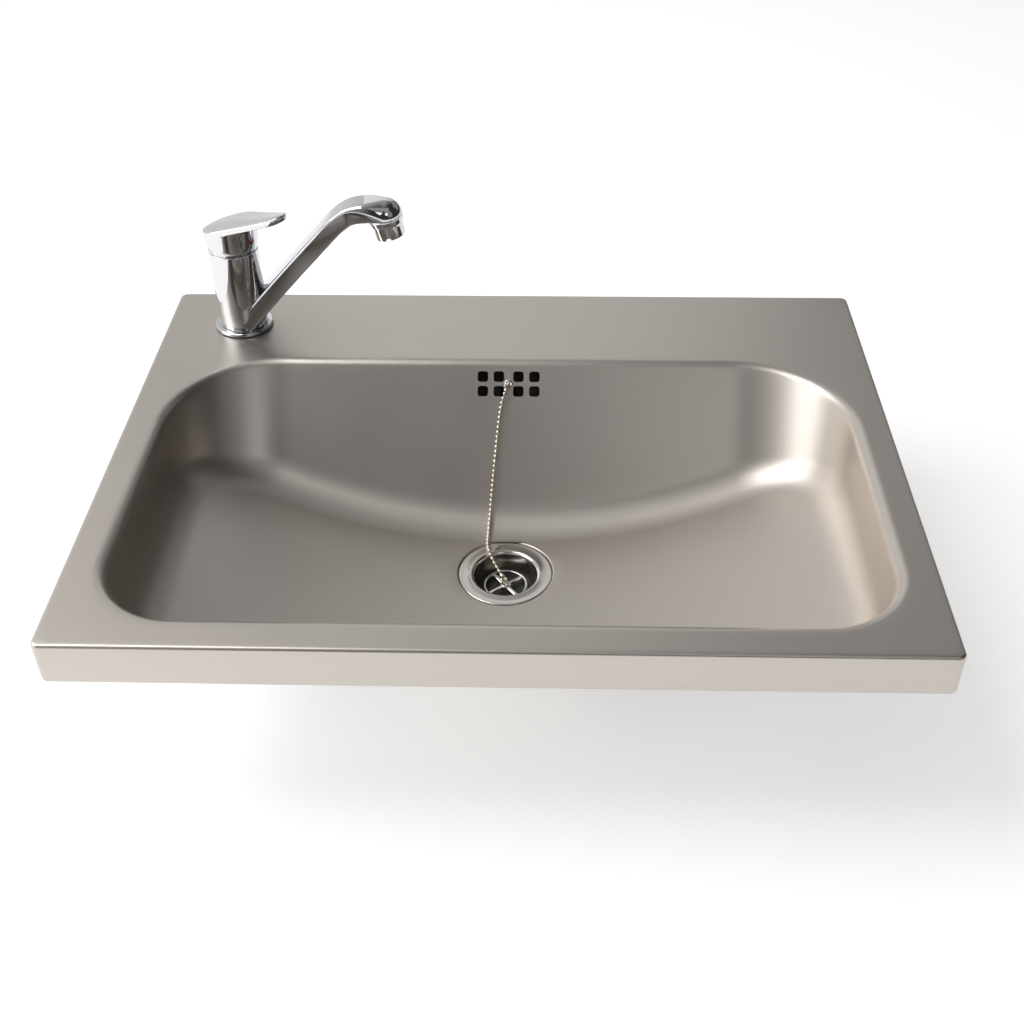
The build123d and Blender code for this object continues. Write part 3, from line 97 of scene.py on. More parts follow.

# %% [markdown]
# The chain is the one soft piece. Its line is a smooth NURBS curve through a few listed points:
# out of the eye in the overflow, down the sloping wall, over the flange and into the throat.
# The order and the end points are set after the points are added, or the curve stays straight.

# %% The chain's line
CLASP_REACH = 7.0 * MM
WALL_EYE = Vector((0.0, -124.94, 4.39)) * MM
PLUG_EYE = Vector((0.0, -250.0, -104.6)) * MM
chain_points = [Vector(p) * MM for p in [
    (-5.4, -132.4, -8.6),
    (-7.7, -142.7, -22.5),
    (-10.6, -161.4, -48.2),
    (-12.9, -177.4, -69.6),
    (-14.2, -191.5, -85.3),
    (-15.2, -207.0, -91.6),
    (-15.6, -218.5, -92.3),
    (-13.4, -228.5, -92.9),
    (-9.0, -236.5, -97.8),
]]
chain_top = WALL_EYE + (chain_points[0] - WALL_EYE).normalized() * CLASP_REACH
chain_low = PLUG_EYE + (chain_points[-1] - PLUG_EYE).normalized() * CLASP_REACH
chain_points = [chain_top] + chain_points + [chain_low]

chain_curve = bpy.data.curves.new("ball_chain_wire", "CURVE")
chain_curve.dimensions = "3D"
chain_curve.resolution_u = 16
spline = chain_curve.splines.new("NURBS")
spline.points.add(len(chain_points) - 1)
for point, place in zip(spline.points, chain_points):
    point.co = (*place, 1.0)
spline.order_u = 3
spline.use_endpoint_u = True
chain_wire = bpy.data.objects.new("ball_chain_wire", chain_curve)
bpy.context.collection.objects.link(chain_wire)
bpy.context.view_layer.update()
line_mesh = bpy.data.meshes.new_from_object(chain_wire)
chain_line = [v.co.copy() for v in line_mesh.vertices]
bpy.data.meshes.remove(line_mesh)

# %% [markdown]
# Nearly every piece is a skin stretched over rings of points, so a few small tools are worth having.
# A Shell collects points and faces, and turns them into one object with smooth shading and crisp edges.

# %% Tools for building skins
class Shell:
    """Points and faces of one piece, gathered bit by bit and then made into an object."""

    def __init__(self):
        self.points = []
        self.faces = []

    def skin(self, rings, cap_start=False, cap_end=False):
        """Stretch faces over closed rings that all have the same number of points."""
        first = len(self.points)
        count = len(rings[0])
        for ring in rings:
            self.points.extend(tuple(p) for p in ring)
        for row in range(len(rings) - 1):
            a = first + row * count
            for i in range(count):
                j = (i + 1) % count
                self.faces.append((a + i, a + j, a + count + j, a + count + i))
        last = first + (len(rings) - 1) * count
        if cap_start:
            self.faces.append(tuple(range(first + count - 1, first - 1, -1)))
        if cap_end:
            self.faces.append(tuple(range(last, last + count)))
        return self

    def spin(self, profile, place=Matrix(), steps=72, closed=False):
        """Turn a profile of radius and height pairs about the Z axis of a place."""
        rings = []
        pairs = list(profile) + ([profile[0]] if closed else [])
        for radius, level in pairs:
            ring = []
            for k in range(steps):
                a = 2 * pi * k / steps
                ring.append(place @ Vector((radius * cos(a), radius * sin(a), level)))
            rings.append(ring)
        return self.skin(rings)

    def torus(self, place, radius, wire, steps=40, sides=14):
        """Closed ring of round wire."""
        profile = []
        for k in range(sides):
            a = 2 * pi * k / sides
            profile.append((radius + wire * cos(a), wire * sin(a)))
        return self.spin(profile, place, steps, closed=True)

    def block(self, place, size, soft):
        """Box with rounded upright corners and softened ends, made as a skin."""
        x, y, z = (s / 2 for s in size)
        rings = []
        for level, shrink in ((-z, soft), (-z + soft, 0), (z - soft, 0), (z, soft)):
            ring = []
            for cx, cy, start in ((1, 1, 0), (-1, 1, 90), (-1, -1, 180), (1, -1, 270)):
                for k in range(4):
                    a = radians(start + 30 * k)
                    px = cx * (x - soft) + (soft - shrink) * cos(a)
                    py = cy * (y - soft) + (soft - shrink) * sin(a)
                    ring.append(place @ Vector((px, py, level)))
            rings.append(ring)
        return self.skin(rings, cap_start=True, cap_end=True)

    def make(self, name, body, sharp=34.0, scale=MM):
        """Weld the points, point the faces outwards and hand back the finished object."""
        mesh = bpy.data.meshes.new(name)
        mesh.from_pydata([tuple(Vector(p) * scale) for p in self.points], [], self.faces)
        tidy = bmesh.new()
        tidy.from_mesh(mesh)
        bmesh.ops.remove_doubles(tidy, verts=tidy.verts, dist=2e-6)
        bmesh.ops.dissolve_degenerate(tidy, dist=1e-7, edges=tidy.edges)
        bmesh.ops.recalc_face_normals(tidy, faces=tidy.faces)
        tidy.to_mesh(mesh)
        tidy.free()
        crisp(mesh, sharp)
        obj = bpy.data.objects.new(name, mesh)
        bpy.context.collection.objects.link(obj)
        if body is not None:
            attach(obj, body)
        print(name, "has", len(mesh.polygons), "faces")
        return obj


def crisp(mesh, angle):
    """Smooth shading everywhere except at edges sharper than an angle in degrees."""
    work = bmesh.new()
    work.from_mesh(mesh)
    for face in work.faces:
        face.smooth = True
    for edge in work.edges:
        turn_angle = edge.calc_face_angle(pi) if len(edge.link_faces) == 2 else pi
        edge.smooth = turn_angle < radians(angle)
    work.to_mesh(mesh)
    work.free()


def arc(centre, radius, start, end, steps):
    """Points of radius and height along an arc, with angles in degrees."""
    points = []
    for k in range(steps + 1):
        a = radians(start + (end - start) * k / steps)
        points.append((centre[0] + radius * cos(a), centre[1] + radius * sin(a)))
    return points


def aim(centre, z_axis, x_hint=(1, 0, 0)):
    """Matrix that stands at a centre and points its Z along a direction."""
    z = Vector(z_axis).normalized()
    y = z.cross(Vector(x_hint)).normalized()
    x = y.cross(z)
    turn = Matrix((x, y, z)).transposed().to_4x4()
    return Matrix.Translation(Vector(centre)) @ turn

# %% [markdown]
# The basin is one skin of rings from the lip under the apron, over the deck and down to the waste.
# The sizes are those of the solid model, in millimetres, except that its front wall leans by 7 degrees and
# this one by 17.5. At 7 degrees the bowl would show below the front edge, and in the photograph it doesn't.
# The walls are straight lines between an outline at deck level and a smaller one lower down.

# %% Sizes and outlines of the basin
TOP = 17.0
SHEET = 1.2
HALF_WIDTH, DEPTH = 300.0, 450.0
DECK_CORNER_R, LEAST_CORNER_R = 6.0, 0.6
DECK_EDGE_R, APRON_FOOT_R = 2.6, 2.2
LIP_REACH, LIP_CORNER_R, LIP_START = 14.0, 20.0, 5.0
BOWL_HALF, BOWL_FRONT, BOWL_BACK = 272.0, -422.0, -110.0
FRONT_CORNER_R, BACK_CORNER_R, CORNER_R_LOSS = 58.0, 88.0, 22.0
END_LEAN, FRONT_LEAN, BACK_LEAN = radians(8.0), radians(17.5), radians(36.2)
LOW = 150.0
FLOOR = TOP - 112.0
FLOOR_R = 660.0
RIM_R = 9.0
FOOT_R = 42.0
WASTE = (0.0, -250.0)
RECESS_R, RECESS_EDGE_R, RECESS_DEPTH, RECESS_SOFT = 38.2, 1.2, 2.4, 0.2
RECESS_OUTER_R = 39.4
WASTE_HOLE_R = 27.0
EDGE, SIDE, CORNER = 72, 28, 24


def rounded_ring(x0, x1, y0, y1, front_r, back_r, z):
    """Points round a rectangle whose front and back corners have their own radii."""
    corners = [
        (x1 - front_r, y0 + front_r, front_r, -90, SIDE),
        (x1 - back_r, y1 - back_r, back_r, 0, EDGE),
        (x0 + back_r, y1 - back_r, back_r, 90, SIDE),
        (x0 + front_r, y0 + front_r, front_r, 180, EDGE),
    ]
    ring = []
    for n, (cx, cy, r, start, straight) in enumerate(corners):
        for k in range(CORNER + 1):
            a = radians(start + 90 * k / CORNER)
            ring.append((cx + r * cos(a), cy + r * sin(a), z))
        nx, ny, nr, nstart, _ = corners[(n + 1) % 4]
        a = radians(nstart)
        target = (nx + nr * cos(a), ny + nr * sin(a))
        here = ring[-1]
        for k in range(1, straight):
            s = k / straight
            ring.append((here[0] + (target[0] - here[0]) * s, here[1] + (target[1] - here[1]) * s, z))
    return np.array(ring)


def bowl_ring(depth):
    """Outline of the bowl's walls at one depth."""
    half = BOWL_HALF - depth * tan(END_LEAN)
    front = BOWL_FRONT + depth * tan(FRONT_LEAN)
    rear = BOWL_BACK - depth * tan(BACK_LEAN)
    loss = CORNER_R_LOSS * depth / LOW
    return rounded_ring(-half, half, front, rear, FRONT_CORNER_R - loss, BACK_CORNER_R - loss, TOP - depth)


def deck_ring(inset, z, corner=DECK_CORNER_R):
    """Outline of the deck's outer edge, moved inwards."""
    r = max(corner - inset, LEAST_CORNER_R)
    return rounded_ring(-HALF_WIDTH + inset, HALF_WIDTH - inset, -DEPTH + inset, -inset, r, r, z)

upper = bowl_ring(0.0)
lower = bowl_ring(LOW)
count = len(upper)
print("points in a ring:", count)

# %% [markdown]
# Rounded edges are rolling balls. At the rim the ball touches the deck and the wall.
# At the foot it touches the wall and the curved floor, and its centre is found for each column.

# %% Rim, walls, foot and floor of the bowl
tangent = np.roll(upper, -1, axis=0) - np.roll(upper, 1, axis=0)
tangent /= np.linalg.norm(tangent, axis=1)[:, None]
fall = (lower - upper) / LOW
inward = np.cross(tangent, fall)
inward /= np.linalg.norm(inward, axis=1)[:, None]
inward *= np.sign(inward[:, 2])[:, None]
outward = np.cross(tangent, np.array([0.0, 0.0, 1.0]))
outward /= np.linalg.norm(outward, axis=1)[:, None]
bowl_middle = np.array([0.0, (BOWL_FRONT + BOWL_BACK) / 2, TOP])
outward *= np.sign(np.sum(outward * (upper - bowl_middle), axis=1))[:, None]
z_up = np.tile([0.0, 0.0, 1.0], (count, 1))


def between(a, b, share):
    """Direction part of the way from a to b along the shorter arc."""
    angle = np.arccos(np.clip(np.sum(a * b, axis=1), -1, 1))[:, None]
    safe = np.where(angle < 1e-6, 1.0, np.sin(angle))
    mix = (np.sin((1 - share) * angle) * a + np.sin(share * angle) * b) / safe
    return np.where(angle < 1e-6, a, mix)

rim_angle = np.arccos(np.clip(np.sum(z_up * inward, axis=1), -1, 1))[:, None]
rim_run = RIM_R * np.tan(rim_angle / 2)
rim_centre = upper + outward * rim_run - z_up * RIM_R
rim_rings = [rim_centre + RIM_R * between(z_up, inward, k / 9) for k in range(10)]

axis_z = FLOOR + FLOOR_R
base = upper + FOOT_R * inward
reach = FLOOR_R - FOOT_R
qa = fall[:, 0] ** 2 + fall[:, 2] ** 2
qb = 2 * (base[:, 0] * fall[:, 0] + (base[:, 2] - axis_z) * fall[:, 2])
qc = base[:, 0] ** 2 + (base[:, 2] - axis_z) ** 2 - reach**2
depth_at_foot = (-qb + np.sqrt(qb**2 - 4 * qa * qc)) / (2 * qa)
foot_centre = base + fall * depth_at_foot[:, None]
to_floor = foot_centre * [1, 0, 1] - np.array([0, 0, axis_z])
to_floor /= np.linalg.norm(to_floor, axis=1)[:, None]
wall_start = rim_rings[-1]
wall_end = foot_centre - FOOT_R * inward
wall_rings = [wall_start + (wall_end - wall_start) * k / 12 for k in range(1, 12)]
foot_rings = [foot_centre + FOOT_R * between(-inward, to_floor, k / 18) for k in range(19)]
foot_depths = [round(float(d), 1) for d in (depth_at_foot.min(), depth_at_foot.max())]
print("least and greatest depth of the foot, mm:", foot_depths)


def floor_level(x):
    """Height of the trough's floor at a sideways distance."""
    return axis_z - np.sqrt(FLOOR_R**2 - x**2)


def waste_ring(radius, drop=None, level=None):
    """Ring of the basin round the waste, on the floor, below it or at one level."""
    x = WASTE[0] + radius * np.cos(ring_angles)
    y = WASTE[1] + radius * np.sin(ring_angles)
    z = floor_level(x) - drop if level is None else np.full(count, level)
    return np.stack([x, y, z], axis=1)

foot_end = foot_rings[-1]
ring_angles = np.arctan2(foot_end[:, 1] - WASTE[1], foot_end[:, 0] - WASTE[0])
lip_ring = waste_ring(RECESS_OUTER_R, drop=0.0)
floor_rings = []
for k in range(1, 20):
    share = k / 20
    ring = foot_end + (lip_ring - foot_end) * share
    ring[:, 2] = floor_level(ring[:, 0])
    floor_rings.append(ring)
recess_rings = []
for radius, level in arc((RECESS_OUTER_R, -RECESS_EDGE_R), RECESS_EDGE_R, 90, 180, 5):
    recess_rings.append(waste_ring(radius, drop=-level))
recess_floor = FLOOR - RECESS_DEPTH
recess_rings.append(waste_ring(RECESS_R, level=recess_floor + RECESS_SOFT))
recess_rings.append(waste_ring(RECESS_R - RECESS_SOFT, level=recess_floor))
recess_rings.append(waste_ring(WASTE_HOLE_R, level=recess_floor))

# %% [markdown]
# Outside the bowl the skin runs over the deck, round a tight edge, down the apron and back under a lip.

# %% Deck, apron and lip
outer_rings = [deck_ring(LIP_REACH, -TOP, corner=LIP_CORNER_R), deck_ring(LIP_START, -TOP)]
for a in (-90, -68, -45, -22, 0):
    inset = APRON_FOOT_R - APRON_FOOT_R * cos(radians(a))
    outer_rings.append(deck_ring(inset, -TOP + APRON_FOOT_R + APRON_FOOT_R * sin(radians(a))))
outer_rings.append(deck_ring(0.0, 0.0))
for a in (0, 15, 30, 45, 60, 75, 90):
    inset = DECK_EDGE_R - DECK_EDGE_R * cos(radians(a))
    outer_rings.append(deck_ring(inset, TOP - DECK_EDGE_R + DECK_EDGE_R * sin(radians(a))))
deck_edge = outer_rings[-1]
deck_rings = [deck_edge + (rim_rings[0] - deck_edge) * k / 8 for k in range(1, 8)]

basin_shell = Shell()
bowl_rings = rim_rings + wall_rings + foot_rings + floor_rings + recess_rings
basin_shell.skin(outer_rings + deck_rings + bowl_rings)
basin = basin_shell.make("basin_skin", "sink")

# %% [markdown]
# The skin is given the sheet's real thickness, and then the holes are punched through it.
# Solidify thickens to the hidden side. Each punch is a closed skin that Boolean takes away.

# %% Thicken the sheet and punch its holes
WALL_OUT = Vector((0, -cos(BACK_LEAN), sin(BACK_LEAN)))
WALL_DOWN = Vector((0, -sin(BACK_LEAN), -cos(BACK_LEAN)))
OVERFLOW_DROP = 19.0
OVERFLOW = Vector((0, BOWL_BACK, TOP)) + WALL_DOWN * OVERFLOW_DROP
HOLE_SIZE, HOLE_CORNER_R = 8.8, 2.3
HOLE_COLUMNS, HOLE_ROWS = (-21.6, -8.2, 8.2, 21.6), (-6.1, 6.1)
TAP = Vector((-232.5, -52.8, TOP))
EYE_HOLE_R, TAP_HOLE_R, BOLT_HOLE_R, BOLT_FROM_MIDDLE = 2.15, 17.5, 4.5, 140.0


def settle(obj):
    """Replace an object's mesh by what its modifiers make of it."""
    graph = bpy.context.evaluated_depsgraph_get()
    mesh = bpy.data.meshes.new_from_object(obj.evaluated_get(graph))
    obj.modifiers.clear()
    old = obj.data
    obj.data = mesh
    bpy.data.meshes.remove(old)


def cut_away(obj, tool):
    """Take one closed skin away from an object, and drop the skin."""
    cut = obj.modifiers.new("cut", "BOOLEAN")
    cut.operation = "DIFFERENCE"
    cut.solver = "EXACT"
    cut.object = tool
    settle(obj)
    bpy.data.objects.remove(tool)


def rounded_square(place, size, radius, low, high):
    """Closed punch with a rounded square section."""
    rings = []
    for level in (low, high):
        ring = []
        for cx, cy, start in ((1, 1, 0), (-1, 1, 90), (-1, -1, 180), (1, -1, 270)):
            for k in range(7):
                a = radians(start + 15 * k)
                px = cx * (size / 2 - radius) + radius * cos(a)
                py = cy * (size / 2 - radius) + radius * sin(a)
                ring.append(place @ Vector((px, py, level)))
        rings.append(ring)
    return rings


def round_punch(place, radius, low, high, steps=96):
    """Closed punch with a round section."""
    rings = []
    for level in (low, high):
        ring = []
        for k in range(steps):
            a = 2 * pi * k / steps
            ring.append(place @ Vector((radius * cos(a), radius * sin(a), level)))
        rings.append(ring)
    return rings

thicken = basin.modifiers.new("sheet", "SOLIDIFY")
thicken.thickness = SHEET * MM
thicken.offset = -1.0
settle(basin)

wall_place = aim(OVERFLOW, WALL_OUT)
punch_shell = Shell()
for column in HOLE_COLUMNS:
    for row in HOLE_ROWS:
        hole_place = wall_place @ Matrix.Translation((column, row, 0))
        square = rounded_square(hole_place, HOLE_SIZE, HOLE_CORNER_R, -6, 6)
        punch_shell.skin(square, cap_start=True, cap_end=True)
punch_shell.skin(round_punch(wall_place, EYE_HOLE_R, -6, 2), cap_start=True, cap_end=True)
punch_shell.skin(round_punch(Matrix.Translation(TAP), TAP_HOLE_R, -6, 4), cap_start=True, cap_end=True)
for x in (-BOLT_FROM_MIDDLE, BOLT_FROM_MIDDLE):
    bolt_place = aim((x, 0, 0), (0, 1, 0))
    punch_shell.skin(round_punch(bolt_place, BOLT_HOLE_R, -8, 4), cap_start=True, cap_end=True)
cut_away(basin, punch_shell.make("punch", None))
crisp(basin.data, 30.0)
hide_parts("basin")
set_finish(basin, "sheet_steel")
print("basin faces after punching:", len(basin.data.polygons))

# %% [markdown]
# A ball chain is a string of hollow balls on short wires. Each ball is turned about the chain's own line.
# The line is walked at an even step, and every ball gets the direction of the line where it sits.

# %% Ball chain
BALL_R = 1.8
PITCH = 4.1
WIRE_R, WIRE_STEP, WIRE_SIDES = 0.55, 1.2, 8
SIDEWAYS = (0.3, 0.2, 1)


def walk(line, step, start):
    """Places along a line at even steps, each with the line's direction there."""
    places = []
    travelled, wanted = 0.0, start
    for a, b in zip(line, line[1:]):
        run = (b - a).length
        while travelled + run >= wanted:
            places.append((a.lerp(b, (wanted - travelled) / run), (b - a).normalized()))
            wanted += step
        travelled += run
    return places

chain_shell = Shell()
ball_profile = [(0.02, -BALL_R)] + arc((0, 0), BALL_R, -72, 72, 9) + [(0.02, BALL_R)]
balls = walk(chain_line, PITCH * MM, BALL_R * MM)
for place, heading in balls:
    chain_shell.spin(ball_profile, aim(place / MM, heading, SIDEWAYS), steps=20)
wire_rings = []
for place, heading in walk(chain_line, WIRE_STEP * MM, 0.0):
    spot = aim(place / MM, heading, SIDEWAYS)
    ring = []
    for k in range(WIRE_SIDES):
        a = 2 * pi * k / WIRE_SIDES
        ring.append(spot @ Vector((WIRE_R * cos(a), WIRE_R * sin(a), 0)))
    wire_rings.append(ring)
chain_shell.skin(wire_rings)
ball_chain = chain_shell.make("ball_chain_balls", None)
bpy.data.objects.remove(chain_wire)
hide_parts("ball_chain")
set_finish(ball_chain, "chain_nickel")
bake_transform(ball_chain)
print("balls on the chain:", len(balls))

# %% [markdown]
# At each end a small link runs through an eye, and a cup holds the last ball.
# The eye on the wall belongs to a screw with a round head. The other eye stands on the plug's hub.

# %% Eye screw and links
EYE_R, EYE_WIRE = 2.7, 0.8
LINK_R, LINK_WIRE = 2.2, 0.55


def ring_place(centre, stem, target):
    """Place for an eye: its plane holds its stem and the point that the chain comes from."""
    across = Vector(stem).cross(target - centre).normalized()
    return aim(centre, across, stem)


def link_and_cup(name, centre, stem, first_ball, body, node):
    """Small link through an eye, and the cup that holds the chain's last ball."""
    along = (first_ball - centre).normalized()
    across = Vector(stem).cross(along).normalized()
    shell = Shell()
    shell.torus(aim(centre + along * LINK_R, along.cross(across), along), LINK_R, LINK_WIRE, 32, 12)
    length = (first_ball - centre).length
    low = 2 * LINK_R
    cup = [(0.3, low)] + arc((1.2, low + 0.9), 0.9, -90, 0, 4)
    cup += [(2.0, length - 0.6), (1.75, length), (0.3, length)]
    shell.spin(cup, aim(centre, along, across), steps=28)
    piece = shell.make(name, body)
    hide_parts(node)
    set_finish(piece, "chain_nickel")

wall_eye = WALL_EYE / MM
plug_eye = PLUG_EYE / MM
top_ball = chain_line[0] / MM
low_ball = chain_line[-1] / MM
link_and_cup("chain_link_top", wall_eye, WALL_OUT, top_ball, "sink", "chain_clasp_top")
link_and_cup("chain_link_low", plug_eye, (0, 0, 1), low_ball, "plug", "chain_clasp_low")

screw_shell = Shell()
head = [(0.02, -13.0), (1.9, -13.0), (2.0, -12.7), (2.0, 0.0), (3.2, 0.0)]
head += arc((3.2, 0.4), 0.4, -90, 0, 3) + arc((2.6, 0.5), 1.0, 0, 90, 6) + [(0.02, 1.7)]
screw_shell.spin(head, wall_place, steps=40)
screw_shell.torus(ring_place(wall_eye, WALL_OUT, top_ball), EYE_R, EYE_WIRE, 44, 16)
eye_screw = screw_shell.make("eye_screw", "sink")
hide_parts("chain_eye_screw")
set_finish(eye_screw, "polished_steel")

# %% [markdown]
# The waste flange is one turned skin: a rolled outer edge, a flat ring, a rounded lip and the throat below.
# The plug in it is a spoked cage on a rubber stopper, with a hub that carries the chain's eye.

# %% Waste flange and plug
waste_place = Matrix.Translation((WASTE[0], WASTE[1], FLOOR))
flange = arc((36.9, -0.9), 0.9, 0, 90, 6) + [(36.0, -0.06), (35.2, -0.16), (28.9, -0.16), (28.5, -0.02)]
flange += arc((28.2, -3.0), 3.0, 90, 180, 10)
flange += [(25.2, -3.6), (24.4, -17.5), (20.0, -25.5), (20.0, -33.0), (21.3, -33.0), (21.3, -25.9)]
flange += [(25.7, -17.9), (26.5, -3.8), (27.3, -1.5), (37.6, -1.5), (37.8, -1.3)]
flange_shell = Shell()
flange_shell.spin(flange, waste_place, steps=160, closed=True)
for turn_angle in (0, 90):
    bar = waste_place @ Matrix.Rotation(radians(turn_angle), 4, "Z") @ Matrix.Translation((0, 0, -31.25))
    flange_shell.block(bar, (40.6, 5.0, 3.5), 0.6)
hub = [(3.2, -33.0), (7.2, -33.0), (7.5, -32.7), (7.5, -29.8), (7.2, -29.5), (3.2, -29.5)]
flange_shell.spin(hub, waste_place, steps=48, closed=True)
waste_flange = flange_shell.make("waste_flange_skin", "sink", sharp=40)
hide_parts("waste_flange")
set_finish(waste_flange, "polished_steel")

PLUG_TOP = -12.5
SPOKE_TURN = 38.0
cage_shell = Shell()
rim = arc((17.0, PLUG_TOP - 0.8), 0.8, 0, 90, 5) + arc((16.6, PLUG_TOP - 0.8), 0.8, 90, 180, 5)
rim += [(15.8, PLUG_TOP - 6.5), (17.8, PLUG_TOP - 6.5)]
cage_shell.spin(rim, waste_place, steps=110, closed=True)
for number in range(4):
    spin_to = Matrix.Rotation(radians(SPOKE_TURN + 90 * number), 4, "Z")
    spoke = waste_place @ spin_to @ Matrix.Translation((8.6, 0, PLUG_TOP - 1.5))
    cage_shell.block(spoke, (16.4, 3.2, 2.6), 0.7)
hub = [(2.1, PLUG_TOP - 6.5), (4.2, PLUG_TOP - 6.5), (4.4, PLUG_TOP - 6.3), (4.4, PLUG_TOP - 0.6)]
hub += arc((3.2, PLUG_TOP - 0.6), 1.2, 0, 90, 6) + [(0.02, PLUG_TOP + 0.7)]
cage_shell.spin(hub, waste_place, steps=44)
cage_shell.torus(ring_place(plug_eye, (0, 0, 1), low_ball), EYE_R, EYE_WIRE, 44, 16)
plug_cage = cage_shell.make("plug_cage_skin", "plug", sharp=40)
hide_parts("plug_cage")
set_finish(plug_cage, "polished_steel")

# %% [markdown]
# The tap is chrome, so every curve has to be true: a mirror shows each flat spot.
# The body, rings and nozzle are turned. The spout is skinned along its upper line.

# %% Tap: turned rings
tap_place = Matrix.Translation(TAP)


def tap_ring(name, profile, node, body="sink", steps=120):
    """Turned piece on the tap's axis, with heights from the deck."""
    piece = Shell().spin(profile, tap_place, steps, closed=True).make(name, body, sharp=38)
    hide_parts(node)
    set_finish(piece, "tap_chrome")

base = [(17.0, 1.0), (24.4, 1.0), (24.8, 1.3)] + arc((23.4, 2.4), 1.4, 0, 90, 8) + [(17.0, 3.8)]
tap_ring("tap_base_ring_skin", base, "tap_base_ring")
collar = [(16.6, 75.0), (20.5, 75.0), (20.9, 75.4), (20.9, 76.8), (20.5, 77.2), (16.6, 77.2)]
tap_ring("collar_ring_skin", collar, "collar_ring")

# %% [markdown]
# Each ring of the spout is a rounded oblong square to the upper line: flat sides, softened edges.
# The line runs straight, bends a little and then arches over to the crown of the head.
# Past the crown the rings become half circles that fan forward over the nozzle like a fan's ribs.
# The tap's bore is cut out of the arm, so nothing of it reaches the fixed parts when the spout turns.

# %% Tap: spout
ARM_SLOPE, BEND, BEND_R = radians(47.0), radians(14.0), 80.0
ARM_LENGTH, ARM_DEPTH, ARM_HALF = 117.4, 15.0, 12.0
ARM_START = (-1, 13.4)
ARM_EDGE_R = 2.2
FLARE, FLARE_LENGTH = 8.3, 75.0
NOZZLE_TILT = radians(12.0)
NOZZLE_FOOT = Vector((131.0, 0, 98.8))
NOZZLE_UP = Vector((-sin(NOZZLE_TILT), 0, cos(NOZZLE_TILT)))
HEAD_R = 15.0
HEAD_CENTRE = NOZZLE_FOOT + NOZZLE_UP * 5.4
HEAD_FAN = radians(78.0)
BORE_CUT_R = 18.4


def arm_width(distance):
    """Half the spout's width: wide where it leaves the body, then even."""
    return ARM_HALF + FLARE * max(0.0, 1 - distance / FLARE_LENGTH) ** 1.75


def oblong(origin, slope, half, upper_r, lower_r=ARM_EDGE_R):
    """Ring square to a line: from the left side over the top to the right side, and back below."""
    lift = Vector((-sin(slope), 0, cos(slope)))
    corners = ((half - upper_r, -upper_r, upper_r, 0, 14), (upper_r - half, -upper_r, upper_r, 90, 14),
               (lower_r - half, lower_r - ARM_DEPTH, lower_r, 180, 6),
               (half - lower_r, lower_r - ARM_DEPTH, lower_r, 270, 6))
    ring = []
    for cx, cy, r, start, steps in corners:
        for k in range(steps + 1):
            a = radians(start + 90 * k / steps)
            ring.append(Vector(origin) + Vector((0, cx + r * cos(a), 0)) + lift * (cy + r * sin(a)))
    return ring

spout_rings = []
for k in range(16):
    distance = ARM_LENGTH * k / 15
    origin = (ARM_START[0] + distance * cos(ARM_SLOPE), 0, ARM_START[1] + distance * sin(ARM_SLOPE))
    spout_rings.append(oblong(origin, ARM_SLOPE, arm_width(distance), ARM_EDGE_R))
bend_start = Vector(origin)
for k in range(1, 6):
    slope = ARM_SLOPE - BEND * k / 5
    reach = BEND_R * (sin(ARM_SLOPE) - sin(slope))
    rise = BEND_R * (cos(slope) - cos(ARM_SLOPE))
    origin = bend_start + Vector((reach, 0, rise))
    spout_rings.append(oblong(origin, slope, ARM_HALF, ARM_EDGE_R + 0.16 * k))

crown = HEAD_CENTRE + Vector((0, 0, HEAD_R))
start = origin
corner = start + Vector((cos(slope), 0, sin(slope))) * ((crown.z - start.z) / sin(slope))
handle_a = start.lerp(corner, 0.72)
handle_b = crown.lerp(corner, 0.62)
for k in range(1, 19):
    s = k / 18
    point = (1 - s) ** 3 * start + 3 * (1 - s) ** 2 * s * handle_a
    point += 3 * (1 - s) * s**2 * handle_b + s**3 * crown
    speed = 3 * (1 - s) ** 2 * (handle_a - start) + 6 * (1 - s) * s * (handle_b - handle_a)
    speed += 3 * s**2 * (crown - handle_b)
    slope = np.arctan2(speed.z, speed.x)
    half = ARM_HALF + (HEAD_R - ARM_HALF) * s * s * (3 - 2 * s)
    upper_r = 3.0 + 12.0 * s**2.2
    spout_rings.append(oblong(point, slope, half, min(upper_r, half - 0.01), ARM_EDGE_R - 1.6 * s))

ring_size = len(spout_rings[0])
for k in range(1, 17):
    lean = HEAD_FAN * k / 16
    rib = Vector((sin(lean), 0, cos(lean)))
    ring = []
    for j in range(ring_size):
        if j < 30:
            a = pi * j / 29
            ring.append(HEAD_CENTRE + Vector((0, HEAD_R * cos(a), 0)) + rib * HEAD_R * sin(a))
        else:
            a = pi * (j - 30) / (ring_size - 31)
            ring.append(HEAD_CENTRE + Vector((0, -HEAD_R * 0.9 * cos(a), 0)) - rib * 2.0 * sin(a))
    spout_rings.append(ring)

spout_shell = Shell()
body = [(17.9, 4.4), (19.8, 4.4)] + arc((19.8, 4.9), 0.5, -90, 0, 3) + [(20.65, 22.0), (21.0, 40.0)]
body += arc((20.2, 73.8), 0.8, 0, 90, 5) + [(17.9, 74.6)]
spout_shell.spin(body, steps=140, closed=True)
arm = Shell().skin(spout_rings, cap_start=True, cap_end=True).make("arm", None, scale=1)
bore_rings = round_punch(Matrix(), BORE_CUT_R, -5.0, 76.0, steps=140)
cut_away(arm, Shell().skin(bore_rings, cap_start=True, cap_end=True).make("bore", None, scale=1))
first = len(spout_shell.points)
spout_shell.points.extend(tuple(v.co) for v in arm.data.vertices)
spout_shell.faces.extend(tuple(first + i for i in face.vertices) for face in arm.data.polygons)
bpy.data.objects.remove(arm)
nozzle_place = aim(NOZZLE_FOOT, NOZZLE_UP, (0, 1, 0))
nozzle = [(12.1, 0.0), (14.1, 0.0)] + arc((14.1, 0.4), 0.4, -90, 0, 3)
nozzle += [(14.6, 1.6), (14.9, 3.4), (15.0, 5.4), (13.0, 9.0), (12.1, 9.0)]
